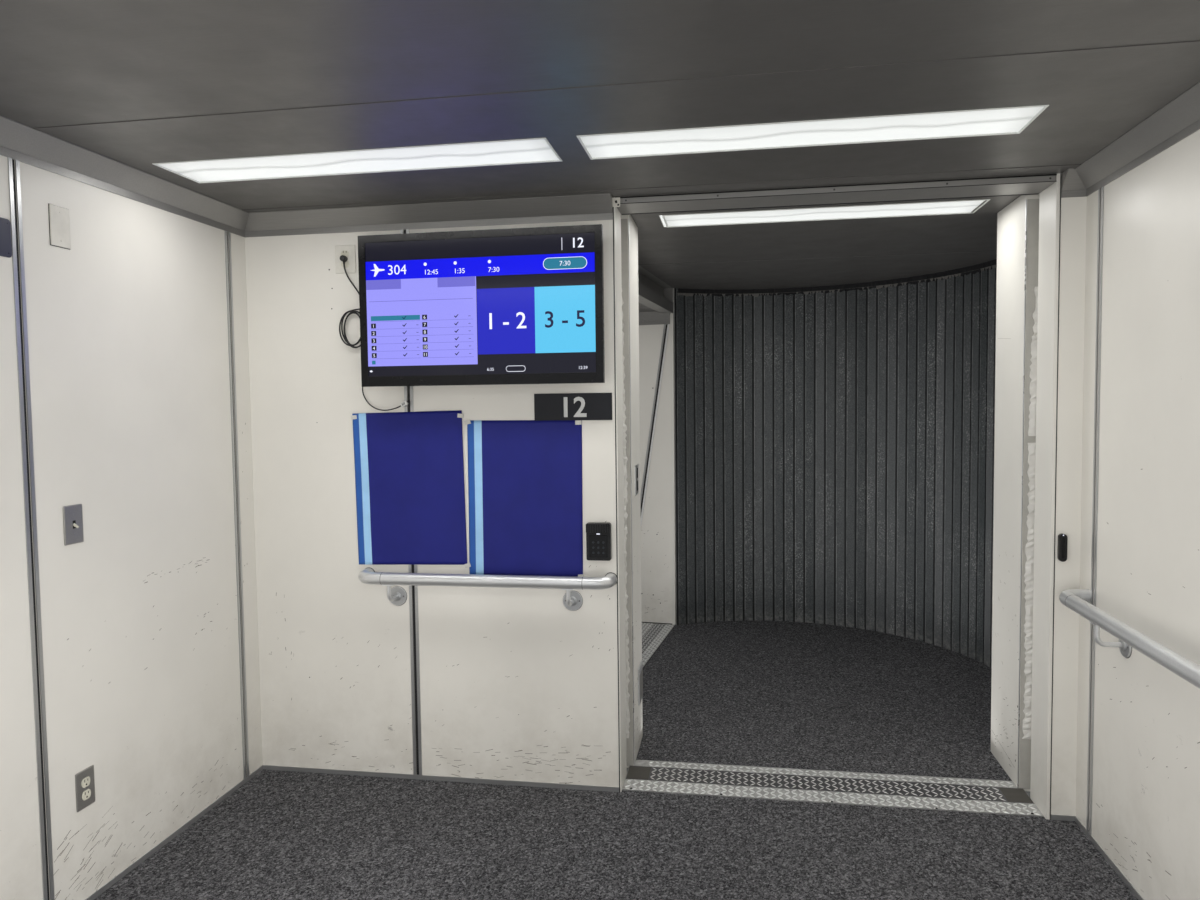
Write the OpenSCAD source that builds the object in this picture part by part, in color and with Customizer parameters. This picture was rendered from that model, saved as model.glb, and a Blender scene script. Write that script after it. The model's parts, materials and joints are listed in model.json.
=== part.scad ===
// Rotunda end of a passenger boarding bridge: the vestibule that joins the
// terminal, the doorway, the round rotunda with its slat curtain, and the
// first bay of the tunnel, swung to the left. The origin is the centre of the
// column flange under the rotunda. +Y runs from the terminal to the rotunda.

/* [Floor] */
// Depth of the floor beams
beam_h = 200; // [150:10:300]
// Width of the floor beams
beam_w = 80; // [60:5:120]
// Thickness of the steel deck plates
deck_t = 6; // [4:1:10]
// Thickness of the carpet
carpet_t = 8; // [5:1:12]

/* [Vestibule] */
// Inner width of the vestibule
vest_w = 3158; // [3100:10:3400]
// Width of the wall between the doorway and the right wall
narrow_w = 99; // [90:1:140]
// Length of one wall bay
bay = 984; // [900:4:1100]
// Number of whole wall bays
bays = 3; // [2:1:5]
// Length of the short panel next to the front wall
corner_bay = 120; // [100:5:160]
// Clear height from carpet to ceiling
ceil_h = 2286; // [2250:2:2400]
// Thickness of the wall panels
wall_t = 50; // [40:5:70]
// Thickness of the ceiling panels
ceil_t = 20; // [15:1:30]

/* [Wall trim] */
// Width of the black gasket between two panels
gasket_w = 12; // [8:1:16]
// Width of each metal strip beside a gasket
strip_w = 12; // [8:1:16]
// How far the metal strips stand proud of the wall
strip_t = 3; // [2:0.5:5]
// Depth of the cove between wall and ceiling
cove_w = 60; // [40:5:80]
// Height of the cove
cove_h = 58; // [40:2:80]
// Height of the screwed strip under the cove
cove_strip_h = 25; // [15:1:35]
// Height of the metal strip at the foot of the walls
base_h = 18; // [10:1:40]
// Width of the front wall's panel beside the doorway
front_panel_w = 833; // [800:1:880]

/* [Doorway] */
// Width of the opening between the jambs' front posts
door_w = 1542; // [1506:2:1556]
// Distance of the opening's middle from the rotunda's axis
door_off = 84; // [68:1:98]
// Depth of the doorway from the front wall to the right jamb's end
door_depth = 599; // [589:1:640]
// Width of the left jamb's front flange
flange_l = 4; // [3:1:30]
// Width of the right jamb's front flange
flange_r = 12; // [8:1:20]
// Width of the jamb column behind the wall
jamb_w = 94; // [80:2:134]
// Depth along the doorway of the jamb's front post
post_d = 163; // [130:1:180]
// Depth along the doorway of the recess behind the post
recess_d = 74; // [70:1:110]
// How far the recess is sunk into the jamb
recess_sink = 36; // [10:1:50]
// How far each jamb's rear part stands into the opening
return_step = 20; // [0:1:24]
// Width of the rubber between a jamb and the wall panel beside it
edge_gap = 5; // [3:1:8]
// Height of the header's soffit below the ceiling
soffit_drop = 27; // [15:1:40]
// Depth along the doorway of the header
header_d = 170; // [150:1:230]
// Width of the front sill plate
sill_front_w = 97; // [80:1:110]
// Width of the middle sill plate
sill_mid_w = 122; // [100:1:140]
// Width of the rear sill plate
sill_rear_w = 66; // [50:1:80]

/* [Lights] */
// Length of a ceiling light's opening
light_l = 1275; // [1000:5:1350]
// Width of a ceiling light's opening
light_w = 236; // [180:2:300]
// Height of a light's tray above the ceiling's face
light_h = 70; // [50:5:110]
// Distance from the left wall to the first light
light_x = 146; // [100:2:180]
// Distance between the two lights of a row
light_gap = 91; // [60:1:120]
// Distance from the front wall to the first row of lights
light_y = 497; // [400:1:560]

/* [Rotunda] */
// Radius to the inner face of the slat curtain
rot_r = 1219; // [1200:1:1240]
// Distance from one slat of the curtain to the next
slat_pitch = 68; // [60:1:80]
// Thickness of a slat's sheet
slat_t = 2; // [1.5:0.1:3]
// Outer radius of a slat's rolled socket
socket_r = 6; // [5:0.25:7]
// Clearance between a slat's bead and the next slat's socket
bead_gap = 0.6; // [0.4:0.1:0.9]
// Distance from the front wall to the light in the rotunda
rot_light_y = 338; // [320:1:380]
// Thickness of the rail and the guides that hold the curtain
rail_t = 5; // [4:1:8]

/* [Tunnel] */
// Angle of the curtain between the left jamb and the tunnel
left_gap = 4.9; // [4.6:0.1:9]
// Clear width of the tunnel
tunnel_w = 1876; // [1840:2:1880]
// How far the tunnel's ceiling lies below the vestibule's
tunnel_drop = 156; // [120:2:200]
// How far the built stretch of the tunnel ends inside the vestibule's left side
tunnel_short = 193; // [100:1:260]
// Width of the ramp plate at the tunnel's mouth
ramp_w = 250; // [200:5:300]
// Lean of the gasket in the tunnel's wedge panel
wedge_lean = 8.6; // [6:0.1:11]
// Distance from the portal to the top of that gasket
wedge_in = 43; // [40:1:60]
// Width and depth of a curtain's housing beside the portal
housing_w = 250; // [230:5:300]

/* [Handrails] */
// Outer radius of a handrail's tube
rail_r = 24; // [16:0.5:26]
// Bending radius of a handrail's ends
rail_bend = 55; // [40:1:70]
// Distance from wall to handrail axis
rail_out = 85; // [75:1:95]
// Height of the front handrail's axis
rail_z = 837; // [800:1:900]
// Height of the right handrail's axis
side_rail_z = 830; // [800:1:900]
// Length of the front handrail
front_rail_l = 989; // [900:1:1040]
// Distance from the front handrail's right end to the doorway
front_rail_side = 31; // [20:1:60]
// Distance between the front handrail's brackets
front_rail_span = 718; // [600:2:760]
// How far the right handrail runs past the second bay
side_rail_extra = 600; // [400:10:700]
// Radius of a handrail bracket's wall flange
bracket_r = 38; // [32:1:45]
// Height of the rail's axis above the bracket's flange
bracket_drop = 87; // [80:1:100]

/* [Monitor] */
// Width of the monitor
tv_w = 940; // [880:1:1000]
// Height of the monitor
tv_h = 572; // [540:1:600]
// Thickness of the monitor
tv_t = 70; // [60:1:90]
// Distance from wall to the monitor's back
tv_out = 60; // [50:1:80]
// Distance from the monitor to the doorway
tv_side = 30; // [24:1:60]
// Distance from the monitor to the ceiling
tv_drop = 126; // [100:1:150]
// Thickness of the monitor's front frame
tv_front = 28; // [20:1:40]
// Width of the frame round the screen
tv_bezel = 28; // [18:1:36]
// Height of the frame under the screen
tv_chin = 39; // [25:1:50]
// Size of the monitor's square wall bracket
tv_mount = 300; // [200:10:360]

/* [Signs and readers] */
// Width of a poster
poster_w = 457; // [420:1:460]
// Height of a poster
poster_h = 610; // [560:1:620]
// Distance from the right poster to the doorway
poster_side = 140; // [124:1:170]
// Height of the right poster's lower edge
poster_z = 843; // [830:1:900]
// Tilt of the left poster
poster_tilt = 1; // [0:0.1:1.5]
// Length of the number plate
sign_w = 303; // [250:1:320]
// Height of the number plate
sign_h = 103; // [90:1:110]
// Height of the number plate's lower edge
sign_z = 1450; // [1440:1:1460]
// Width of the card reader
reader_w = 93; // [80:1:100]
// Height of the card reader
reader_h = 143; // [120:1:150]
// Height of the card reader's lower edge
reader_z = 913; // [900:1:960]
// Width of the narrow reader beside the right wall
slim_w = 27; // [22:1:34]
// Height of the narrow reader
slim_h = 98; // [80:1:120]

/* [Wall plates] */
// Width of a switch or outlet plate
plate_w = 72; // [68:1:80]
// Height of a switch or outlet plate
plate_h = 117; // [112:1:120]
// Thickness of a switch or outlet plate
plate_t = 5; // [3:0.5:6]
// Height of the outlet plate's lower edge
outlet_z = 299; // [280:1:320]
// Height of the switch plate's lower edge
switch_z = 1109; // [1080:1:1140]
// Distance from the blank plate to the ceiling
blank_drop = 178; // [160:1:190]
// Distance from the plates to the wall's second gasket
plate_in = 115; // [100:1:130]

/* [Column flange] */
// Radius of the column's flange
column_r = 450; // [430:5:500]
// Radius of the flange's bolt circle
column_bolt_r = 410; // [400:1:420]
// Radius of a bolt hole in the flange
column_hole_r = 13; // [9:0.5:16]
// Thickness of the column's flange
column_t = 25; // [16:1:40]

/* [Hidden] */
$fn = 48;
eps = 1;

deck_z = beam_h + deck_t;
floor_z = deck_z + carpet_t;
ceil_z = floor_z + ceil_h;
top_z = ceil_z + ceil_t;
wall_h = ceil_h + carpet_t;
vest_len = corner_bay + bays * bay;
door_x1 = vest_w - narrow_w;
door_x = door_x1 - door_w;
vest_left = door_x + door_w / 2 - door_off;
joints_y = [for (i = [0:bays - 1]) corner_bay + i * bay];

// Radii of the rotunda's pieces, from the curtain outwards
slat_d = socket_r + 3;
curtain_out = rot_r + slat_d + socket_r;
rail_gap = 5;
inner_r = rot_r - rail_gap - rail_t;
rim_r = curtain_out + rail_gap + rail_t;
base_r = rim_r + 20;

// The doorway's depth puts both jambs' ends on the curtain's circle
jamb_gap = 6;
jamb_over = 8;
front_y = round(door_depth + jamb_gap
    + sqrt(pow(rot_r, 2) - pow(door_w / 2 + door_off - return_step, 2)));
left_depth = round(front_y + jamb_over - sqrt(pow(rot_r, 2) - pow(door_w / 2 - door_off + jamb_w, 2)));

// Distance from the rotunda's axis to the tunnel's portal
half_w = tunnel_w / 2;
portal_u = floor(sqrt(pow(rot_r, 2) - pow(half_w, 2)) - 1);

// Angles of the curtain's ends on its circle
swing_half = atan2(half_w, portal_u);
end_turn = 0.6;
post_turn = 1;
a_right = -asin((front_y - door_depth) / curtain_out) + end_turn;
a_left = 180 + asin((front_y - left_depth) / curtain_out) - end_turn / 3;
// Direction of the tunnel, anticlockwise from +X, swung as far left as it goes
swing = round(10 * (a_left - left_gap - swing_half)) / 10;
a_far = swing - swing_half - post_turn;
a_near = swing + swing_half + post_turn;
slat_n = floor((a_far - a_right) / (slat_pitch / rot_r * 180 / PI));
slat_a = (a_far - a_right) / slat_n;
seg_n = ceil(slat_n / 3);
left_n = max(1, floor((a_left - a_near) / slat_a));
slat_h = ceil_h + carpet_t + 60;
rail_clear = 8;

tray_t = 2;
clad_t = 4;
rib_h = 25;
rib_w = 60;
rib_gap = 105;
roof_h = 180;
eave = clad_t + rib_h + 8;
housing_in = 25;
housing_l = housing_w + 20;
housing_r = 20;
hoop_t = 6;
hoop_h = 40;
end_t = 60;
end_d = 12;
post_face = 20;
portal_d = 80;
portal_back = 20;
portal_cheek = 12;
header_low = 10;
header_h = 60;
tunnel_h = ceil_h - tunnel_drop;
tunnel_end = vest_left - tunnel_short;
strip_top = ceil_h - cove_h - cove_strip_h;
front_gasket_x = door_x - front_panel_w;
// Ends of the wall panels beside the doorway
panel_x1 = door_x - flange_l - edge_gap;
panel_x2 = door_x1 + flange_r + edge_gap;
rot_light_in = (door_w - light_l) / 2;
// Right side of the neck between doorway and rotunda, and its rear end
side_x = vest_w + wall_t - vest_left;
neck_in = 60;
neck_y = sqrt(pow(base_r, 2) - pow(side_x, 2)) - neck_in;

// Places pieces from the left end of the front wall, at carpet height
module in_vestibule() translate([-vest_left, -front_y, floor_z]) children();

// Places pieces with +X along the tunnel, at carpet height
module in_tunnel() rotate([0, 0, swing]) translate([0, 0, floor_z]) children();

// A box from its lowest to its highest corner
module block(a, b) translate(a) cube(b - a);

// Half plane beyond the portal, used to cut the round pieces
module beyond_portal(u)
    rotate([0, 0, swing]) translate([u, -2 * rot_r]) square([2 * rot_r, 4 * rot_r]);

// A rectangle with round corners
module rounded(w, h, r) {
    translate([r, 0]) square([w - 2 * r, h]);
    translate([0, r]) square([w, h - 2 * r]);
    for (x = [r, w - r], y = [r, h - r]) translate([x, y]) circle(r, $fn = 32);
}

module floor_frame() color("dimgray") {
    x0 = -vest_left - wall_t;
    x1 = vest_w - vest_left + wall_t;
    y0 = -front_y - vest_len;
    y1 = -front_y + wall_t;
    for (x = [x0, x1 - beam_w]) block([x, y0, 0], [x + beam_w, y1, beam_h]);
    step = bay / 2;
    rows = floor((y1 - y0 - beam_w) / step);
    for (i = [0:rows]) {
        y = y0 + i * (y1 - y0 - beam_w) / rows;
        block([x0 + beam_w + 0.5, y, 0], [x1 - beam_w - 0.5, y + beam_w, beam_h]);
    }
}

// The rotunda's circle, its neck to the doorway, and the straight cut of the portal
module rotunda_outline(r) {
    difference() {
        union() {
            circle(r, $fn = 120);
            translate([door_x - jamb_w - vest_left, -front_y + wall_t])
                square([side_x - door_x + jamb_w + vest_left, front_y - wall_t - neck_y]);
        }
        beyond_portal(portal_u);
    }
}

// The passage's own outline between the jambs and inside the curtain
module passage_outline(y0) {
    intersection() {
        union() {
            circle(inner_r, $fn = 120);
            translate([door_x + return_step - vest_left + eps, -front_y])
                square([door_w - 2 * return_step - 2 * eps, front_y - neck_y]);
        }
        translate([-rot_r, y0 - front_y]) square(3 * rot_r);
    }
}

stub_r = column_r - 70;
stub_h = 45;
drum_z = column_t + stub_h;

module rotunda_base() color("gray") {
    difference() {
        cylinder(h = column_t, r = column_r, $fn = 96);
        for (i = [0:11]) rotate([0, 0, i * 30]) translate([column_bolt_r, 0, -eps])
            cylinder(h = column_t + 2 * eps, r = column_hole_r, $fn = 32);
    }
    translate([0, 0, column_t]) cylinder(h = stub_h, r = stub_r, $fn = 96);
    for (i = [0:11]) rotate([0, 0, 15 + i * 30]) translate([stub_r - 2, 5, column_t])
        rotate([90, 0, 0]) linear_extrude(10)
            polygon([[0, 0], [column_r - stub_r - 10, 0], [0, stub_h]]);
    translate([0, 0, drum_z]) linear_extrude(beam_h - drum_z) rotunda_outline(base_r);
}

module floor_deck() color("silver") {
    block([-vest_left - wall_t, -front_y - vest_len, beam_h],
        [vest_w - vest_left + wall_t, -front_y + wall_t, deck_z]);
    translate([0, 0, beam_h]) linear_extrude(deck_t) rotunda_outline(base_r);
}

sill_y0 = 15;
sill_y = [sill_y0, sill_y0 + sill_front_w, sill_y0 + sill_front_w + sill_mid_w,
    sill_y0 + sill_front_w + sill_mid_w + sill_rear_w];
plate_step = 2;

module carpets() color("#3b3d42") {
    in_vestibule() {
        block([0, -vest_len, -carpet_t], [vest_w, 0, 0]);
        block([door_x, 0, -carpet_t], [door_x1, sill_y0, 0]);
    }
    translate([0, 0, deck_z]) linear_extrude(carpet_t) difference() {
        passage_outline(sill_y[3]);
        beyond_portal(portal_u - 1);
    }
    in_tunnel() block([portal_u + ramp_w, -half_w, -carpet_t], [tunnel_end, half_w, 0]);
}

module door_sill() color("#b9bcc0") in_vestibule()
    for (i = [0:2]) {
        inset = 0.5 + (i == 2 ? return_step : 0);
        block([door_x + inset, sill_y[i] + 0.25, -carpet_t],
            [door_x1 - inset, sill_y[i + 1] - 0.25, i == 1 ? 0 : plate_step]);
    }

// One wall along -Y, seen from inside, as panels between gaskets
module side_panels(x0, x1) {
    stops = concat([-wall_t], joints_y, [vest_len]);
    for (i = [0:len(stops) - 2]) {
        g0 = i == 0 ? 0 : gasket_w / 2;
        g1 = i == len(stops) - 2 ? 0 : gasket_w / 2;
        block([x0, -stops[i + 1] + g1, -carpet_t], [x1, -stops[i] - g0, ceil_h]);
    }
}

module left_wall() color("#d9d6cd") in_vestibule() side_panels(-wall_t, 0);

module right_wall() color("#d9d6cd") in_vestibule() side_panels(vest_w, vest_w + wall_t);

module front_wall() color("#d9d6cd") in_vestibule() {
    block([0, 0, -carpet_t], [front_gasket_x - gasket_w / 2, wall_t, ceil_h]);
    block([front_gasket_x + gasket_w / 2, 0, -carpet_t], [panel_x1, wall_t, ceil_h]);
    block([panel_x2, 0, -carpet_t], [vest_w, wall_t, ceil_h]);
}

// Strips that stand on the faces of the left, right and front wall
module on_left(y0, y1, z0, z1, t) block([0, -y1, z0], [t, -y0, z1]);
module on_right(y0, y1, z0, z1, t) block([vest_w - t, -y1, z0], [vest_w, -y0, z1]);
module on_front(x0, x1, z0, z1, t) block([x0, -t, z0], [x1, 0, z1]);

gasket_sink = 2;

module wall_gaskets() color("#111214") {
    g = gasket_w / 2;
    in_vestibule() {
        for (y = joints_y) {
            block([-wall_t, -y - g, -carpet_t], [-gasket_sink, -y + g, strip_top]);
            block([vest_w + gasket_sink, -y - g, -carpet_t], [vest_w + wall_t, -y + g, strip_top]);
        }
        block([front_gasket_x - g, gasket_sink, -carpet_t],
            [front_gasket_x + g, wall_t, strip_top]);
        for (x = [panel_x1, panel_x2 - edge_gap])
            block([x, gasket_sink, -carpet_t], [x + edge_gap, wall_t, ceil_h]);
    }
    in_tunnel() for (s = [-1, 1]) wedge_strip(s, -g, g, -wall_t, -gasket_sink);
}

module wall_strips() color("#a9acaf") {
    g = gasket_w / 2;
    in_vestibule() {
        for (y = joints_y, s = [-1, 1]) {
            y0 = y + (s > 0 ? g : -g - strip_w);
            on_left(y0, y0 + strip_w, base_h + 0.5, strip_top, strip_t);
            on_right(y0, y0 + strip_w, base_h + 0.5, strip_top, strip_t);
        }
        for (s = [-1, 1]) {
            x0 = front_gasket_x + (s > 0 ? g : -g - strip_w);
            on_front(x0, x0 + strip_w, base_h + 0.5, strip_top, strip_t);
        }
        on_left(strip_t + 0.5, vest_len, 0, base_h, strip_t);
        on_right(strip_t + 0.5, vest_len, 0, base_h, strip_t);
        on_front(0, panel_x1, 0, base_h, strip_t);
        on_front(panel_x2, vest_w, 0, base_h, strip_t);
    }
    in_tunnel() for (s = [-1, 1], e = [-1, 1])
        wedge_strip(s, e > 0 ? g : -g - strip_w, e > 0 ? g + strip_w : -g, 0, strip_t);
}

// Profile of the cove, with the wall at x = 0 and the ceiling at the top
module cove_profile()
    polygon([[0, -cove_h], [strip_t, -cove_h], [cove_w, -strip_t], [cove_w, 0], [0, 0]]);

// A length of cove along +Y that starts at the origin, its ends cut to mitres
module cove_run(length, mitre_start, mitre_end) {
    difference() {
        translate([0, length, 0]) rotate([90, 0, 0]) linear_extrude(length) cove_profile();
        if (mitre_start) rotate([0, 0, -45]) translate([0, -cove_w * 2 + 0.5, -cove_h * 2])
            cube([cove_w * 2, cove_w * 2, cove_h * 3]);
        if (mitre_end) translate([0, length, 0]) rotate([0, 0, 45])
            translate([0, -0.5, -cove_h * 2]) cube([cove_w * 2, cove_w * 2, cove_h * 3]);
    }
}

module cove_trims() color("#7e7d79") {
    z1 = -cove_h - 0.5;
    z0 = z1 - cove_strip_h + 0.5;
    in_vestibule() translate([0, 0, ceil_h]) {
        translate([0, -vest_len, 0]) cove_run(vest_len, false, true);
        translate([vest_w, 0, 0]) rotate([0, 0, 180]) cove_run(vest_len, true, false);
        rotate([0, 0, -90]) cove_run(panel_x1, true, false);
        translate([panel_x2, 0, 0]) rotate([0, 0, -90])
            cove_run(vest_w - panel_x2, false, true);
        on_left(strip_t + 0.5, vest_len, z0, z1, strip_t);
        on_right(strip_t + 0.5, vest_len, z0, z1, strip_t);
        on_front(0, panel_x1, z0, z1, strip_t);
        on_front(panel_x2, vest_w, z0, z1, strip_t);
    }
    // In the tunnel the coves start at the portal's posts and pass under its beam
    u0 = portal_u + post_face + 0.5;
    in_tunnel() translate([0, 0, tunnel_h]) difference() {
        union() {
            translate([tunnel_end, -half_w, 0]) rotate([0, 0, 90])
                cove_run(tunnel_end - u0, false, false);
            translate([u0, half_w, 0]) rotate([0, 0, -90]) cove_run(tunnel_end - u0, false, false);
            for (y = [-half_w, half_w - strip_t])
                block([u0, y, z0], [tunnel_end, y + strip_t, z1]);
        }
        block([portal_u, -half_w - eps, -header_low - 0.5],
            [portal_u + portal_d + 0.5, half_w + eps, eps]);
    }
}

// Lowest corners of the lights in the vestibule
rows_y = [for (i = [0:2:bays - 1]) light_y + i * bay];
lights = [for (y = rows_y, i = [0, 1])
    [light_x + i * (light_l + light_gap), -y - light_w]];
batten_w = 20;
batten_t = 2;
ceil_joints = [for (i = [0:bays - 1]) corner_bay - 18 + i * bay];

module vestibule_ceiling() color("#5a5a5b") in_vestibule() {
    stops = concat([-wall_t], ceil_joints, [vest_len]);
    for (i = [0:len(stops) - 2]) difference() {
        block([-wall_t, -stops[i + 1] + 1, ceil_h], [vest_w + wall_t, -stops[i] - 1, ceil_h + ceil_t]);
        for (l = lights) translate([l[0], l[1], ceil_h - eps])
            cube([light_l, light_w, ceil_t + 2 * eps]);
    }
}

module ceiling_battens() color("#6b6b6a") in_vestibule()
    for (y = ceil_joints) block([cove_w + 0.5, -y - batten_w / 2, ceil_h - batten_t],
        [vest_w - cove_w - 0.5, -y + batten_w / 2, ceil_h]);

// An open tray, set into its opening from above
module tray() difference() {
    translate([0.5, 0.5, 0]) cube([light_l - 1, light_w - 1, light_h]);
    translate([tray_t + 0.5, tray_t + 0.5, -eps])
        cube([light_l - 2 * tray_t - 1, light_w - 2 * tray_t - 1, light_h - tray_t + eps]);
}

module lens() translate([tray_t + 0.8, tray_t + 0.8, tray_t])
    cube([light_l - 2 * tray_t - 1.6, light_w - 2 * tray_t - 1.6, 4]);

module at_lights() in_vestibule() {
    for (l = lights) translate([l[0], l[1], ceil_h]) children();
    translate([door_x + rot_light_in, rot_light_y, ceil_h]) children();
}

module light_trays() color("white") at_lights() tray();

module light_lenses() color("#f4f7f2") at_lights() lens();

// Plan of a jamb whose opening side is x = 0 and whose body lies on +X
module jamb_plan(flange, body, depth) {
    difference() {
        union() {
            translate([0, -strip_t]) square([flange, wall_t + strip_t]);
            translate([0, wall_t]) square([body, depth - wall_t]);
            translate([-return_step, post_d + recess_d])
                square([return_step + body, depth - post_d - recess_d]);
        }
        translate([-eps, post_d]) square([recess_sink + eps, recess_d]);
    }
}

module door_jamb_left() color("#d6d4cc") in_vestibule()
    translate([door_x, 0, -carpet_t]) mirror([1, 0, 0])
        linear_extrude(wall_h) jamb_plan(flange_l, jamb_w, left_depth);

module door_jamb_right() color("#d6d4cc") in_vestibule()
    translate([door_x1, 0, -carpet_t]) linear_extrude(wall_h)
        jamb_plan(flange_r, vest_w + wall_t - door_x1, door_depth);

module door_header() color("#77766f") in_vestibule()
    block([door_x + 0.5, -strip_t, ceil_h - soffit_drop],
        [door_x1 - 0.5, header_d, ceil_h]);

// Plan of one slat: a flat face, a rolled socket on one edge and a bead on
// the other, so that each slat turns in the next one's socket
module slat_plan(p) {
    bead_r = socket_r - slat_t - bead_gap;
    y_bead = -p / 2;
    y_sock = p / 2;
    face0 = y_bead + socket_r + 2;
    face1 = y_sock - socket_r;
    translate([0, face0]) square([slat_t, face1 - face0 + slat_t]);
    translate([0, face0]) square([slat_d, slat_t]);
    translate([0, face1]) square([slat_d, slat_t * 0.8]);
    translate([slat_d - slat_t / 2, y_bead]) square([slat_t, face0 + slat_t - y_bead]);
    translate([slat_d, y_bead]) circle(bead_r, $fn = 24);
    translate([slat_d, y_sock]) difference() {
        circle(socket_r, $fn = 32);
        circle(socket_r - slat_t, $fn = 32);
        polygon([[0, 0], [2 * socket_r * cos(125), 2 * socket_r], [2 * socket_r, 2 * socket_r],
            [2 * socket_r, 0]]);
        polygon([[0, 0], [-socket_r, 2 * socket_r], [2 * socket_r, 2 * socket_r],
            [socket_r * 1.4, 0.9 * socket_r]]);
    }
}

module slats(a0, n) {
    p = 2 * (rot_r + slat_d) * tan(slat_a / 2);
    for (i = [0:n - 1]) rotate([0, 0, a0 + (i + 0.5) * slat_a])
        translate([rot_r, 0, deck_z]) linear_extrude(slat_h) slat_plan(p);
}

module curtain_part(k) color("#4a4c4e")
    slats(a_right + k * seg_n * slat_a, min(seg_n, slat_n - k * seg_n));
module curtain_1() curtain_part(0);
module curtain_2() curtain_part(1);
module curtain_3() curtain_part(2);
module curtain_left() color("#4a4c4e") slats(a_near, left_n);

// Inverted channel that the tops of the slats run in
module curtain_rail() color("#6d6f70") {
    step = (a_far - a_right - 0.5) / 6;
    arcs = [for (i = [0:5]) [a_right + i * step, step]];
    for (a = concat(arcs, [[a_near + 0.5, left_n * slat_a - 0.5]]))
        rotate([0, 0, a[0] + 0.05]) rotate_extrude(angle = a[1] - 0.1, $fn = 180)
            rail_section();
}

module rail_section() {
    z1 = deck_z + slat_h + rail_clear;
    translate([inner_r + 0.5, ceil_z]) square([rail_t - 0.5, z1 - ceil_z]);
    translate([rim_r - rail_t, ceil_z]) square([rail_t, z1 - ceil_z]);
    translate([inner_r + 0.5, z1]) square([rim_r - inner_r - 0.5, rail_t]);
}

// Curved plate behind a jamb's end that keeps the curtain's edge in place
module guide(a0, a1) translate([0, 0, deck_z]) rotate([0, 0, a0])
    rotate_extrude(angle = a1 - a0, $fn = 180)
        translate([rim_r - rail_t, 0]) square([rail_t - 2, wall_h]);

module curtain_guides() color("#8b8d8f") {
    difference() {
        guide(a_right - 4, a_right + 4);
        translate([0, -front_y + door_depth - rot_r, 0])
            block([0, 0, 0], [2 * rot_r, rot_r, top_z]);
    }
    difference() {
        guide(a_near + 0.5, a_near + left_n * slat_a + 8);
        translate([-2 * rot_r, -front_y + left_depth - rot_r, 0])
            block([0, 0, 0], [2 * rot_r, rot_r, top_z]);
    }
}

// Rounded box beside the portal that takes in the rolled-up curtain, on the near (1) or
// far (-1) side, with hoops round the three sides that are clear of the tunnel
module housing_hoop(side) linear_extrude(hoop_h) difference() {
    translate([-hoop_t, -hoop_t])
        rounded(housing_l + 2 * hoop_t, housing_w + 2 * hoop_t, housing_r + hoop_t);
    translate([-2 * hoop_t, side > 0 ? -2 * hoop_t : housing_w - hoop_t])
        square([housing_l + 4 * hoop_t, 3 * hoop_t]);
}

module curtain_housings() color("#c9cacb") in_tunnel() for (side = [-1, 1]) {
    h = top_z - deck_z - 1;
    y = half_w + wall_t + 0.5;
    translate([portal_u - housing_in, side > 0 ? y : -y - housing_w, deck_z - floor_z + 0.5]) {
        linear_extrude(h) rounded(housing_l, housing_w, housing_r);
        for (z = [bay / 2, h - bay / 2]) translate([0, 0, z]) housing_hoop(side);
    }
}

rot_seam_y = 1530;

module rotunda_ceiling() color("#5f5f5f") difference() {
    translate([0, 0, ceil_z]) linear_extrude(ceil_t) difference() {
        passage_outline(wall_t);
        beyond_portal(portal_u);
        translate([-rot_r, rot_seam_y - front_y - 1.5]) square([2 * rot_r, 3]);
    }
    in_vestibule() translate([door_x + rot_light_in, rot_light_y, ceil_h - eps])
        cube([light_l, light_w, ceil_t + 2 * eps]);
}

seam_w = 20;
seam_h = 22;

module rotunda_roof() color("#c4c6c8") translate([0, 0, top_z]) {
    difference() {
        linear_extrude(roof_h) rotunda_outline(base_r);
        translate([0, 0, -eps]) linear_extrude(roof_h - clad_t + eps)
            offset(delta = -clad_t) rotunda_outline(base_r);
    }
    translate([0, 0, roof_h]) cylinder(h = 40, r1 = rot_r * 0.6, r2 = 120, $fn = 96);
    translate([0, 0, roof_h]) linear_extrude(seam_h) intersection() {
        rotunda_outline(base_r - 10);
        for (i = [0:11]) rotate([0, 0, i * 30]) translate([0, -seam_w / 2])
            square([2 * base_r, seam_w]);
    }
}

roof_fall = 40;
roof_side = roof_h - roof_fall;

// Cross-section of the vestibule's low gable, moved inwards by t
module gable(t) polygon([[t - wall_t, -t], [t - wall_t, roof_side - t], [vest_w / 2, roof_h - t],
    [vest_w + wall_t - t, roof_side - t], [vest_w + wall_t - t, -t]]);

// A band of height h on the gable's slopes that overhangs the walls
module roof_band(h) {
    edges = [[-wall_t - eave, roof_side], [-wall_t, roof_side], [vest_w / 2, roof_h],
        [vest_w + wall_t, roof_side], [vest_w + wall_t + eave, roof_side]];
    polygon(concat(edges, [for (i = [4:-1:0]) edges[i] + [0, h]]));
}

// Runs a cross-section along the vestibule from y towards the terminal
module run(y, length) translate([0, y, 0]) rotate([90, 0, 0]) linear_extrude(length) children();

module vestibule_roof() color("#c4c6c8") in_vestibule() translate([0, 0, ceil_h + ceil_t]) {
    full = vest_len + wall_t;
    lip = 40;
    difference() {
        run(wall_t, full) gable(0);
        run(wall_t - clad_t, full - 2 * clad_t) gable(clad_t);
    }
    run(wall_t, full) {
        roof_band(clad_t);
        for (x = [-wall_t - eave, vest_w + wall_t + eave - clad_t])
            translate([x, roof_side - lip]) square([clad_t, lip + clad_t]);
    }
    for (i = [0:2 * bays]) run(wall_t - i * (full - seam_w) / (2 * bays), seam_w) roof_band(seam_h);
}

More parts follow.
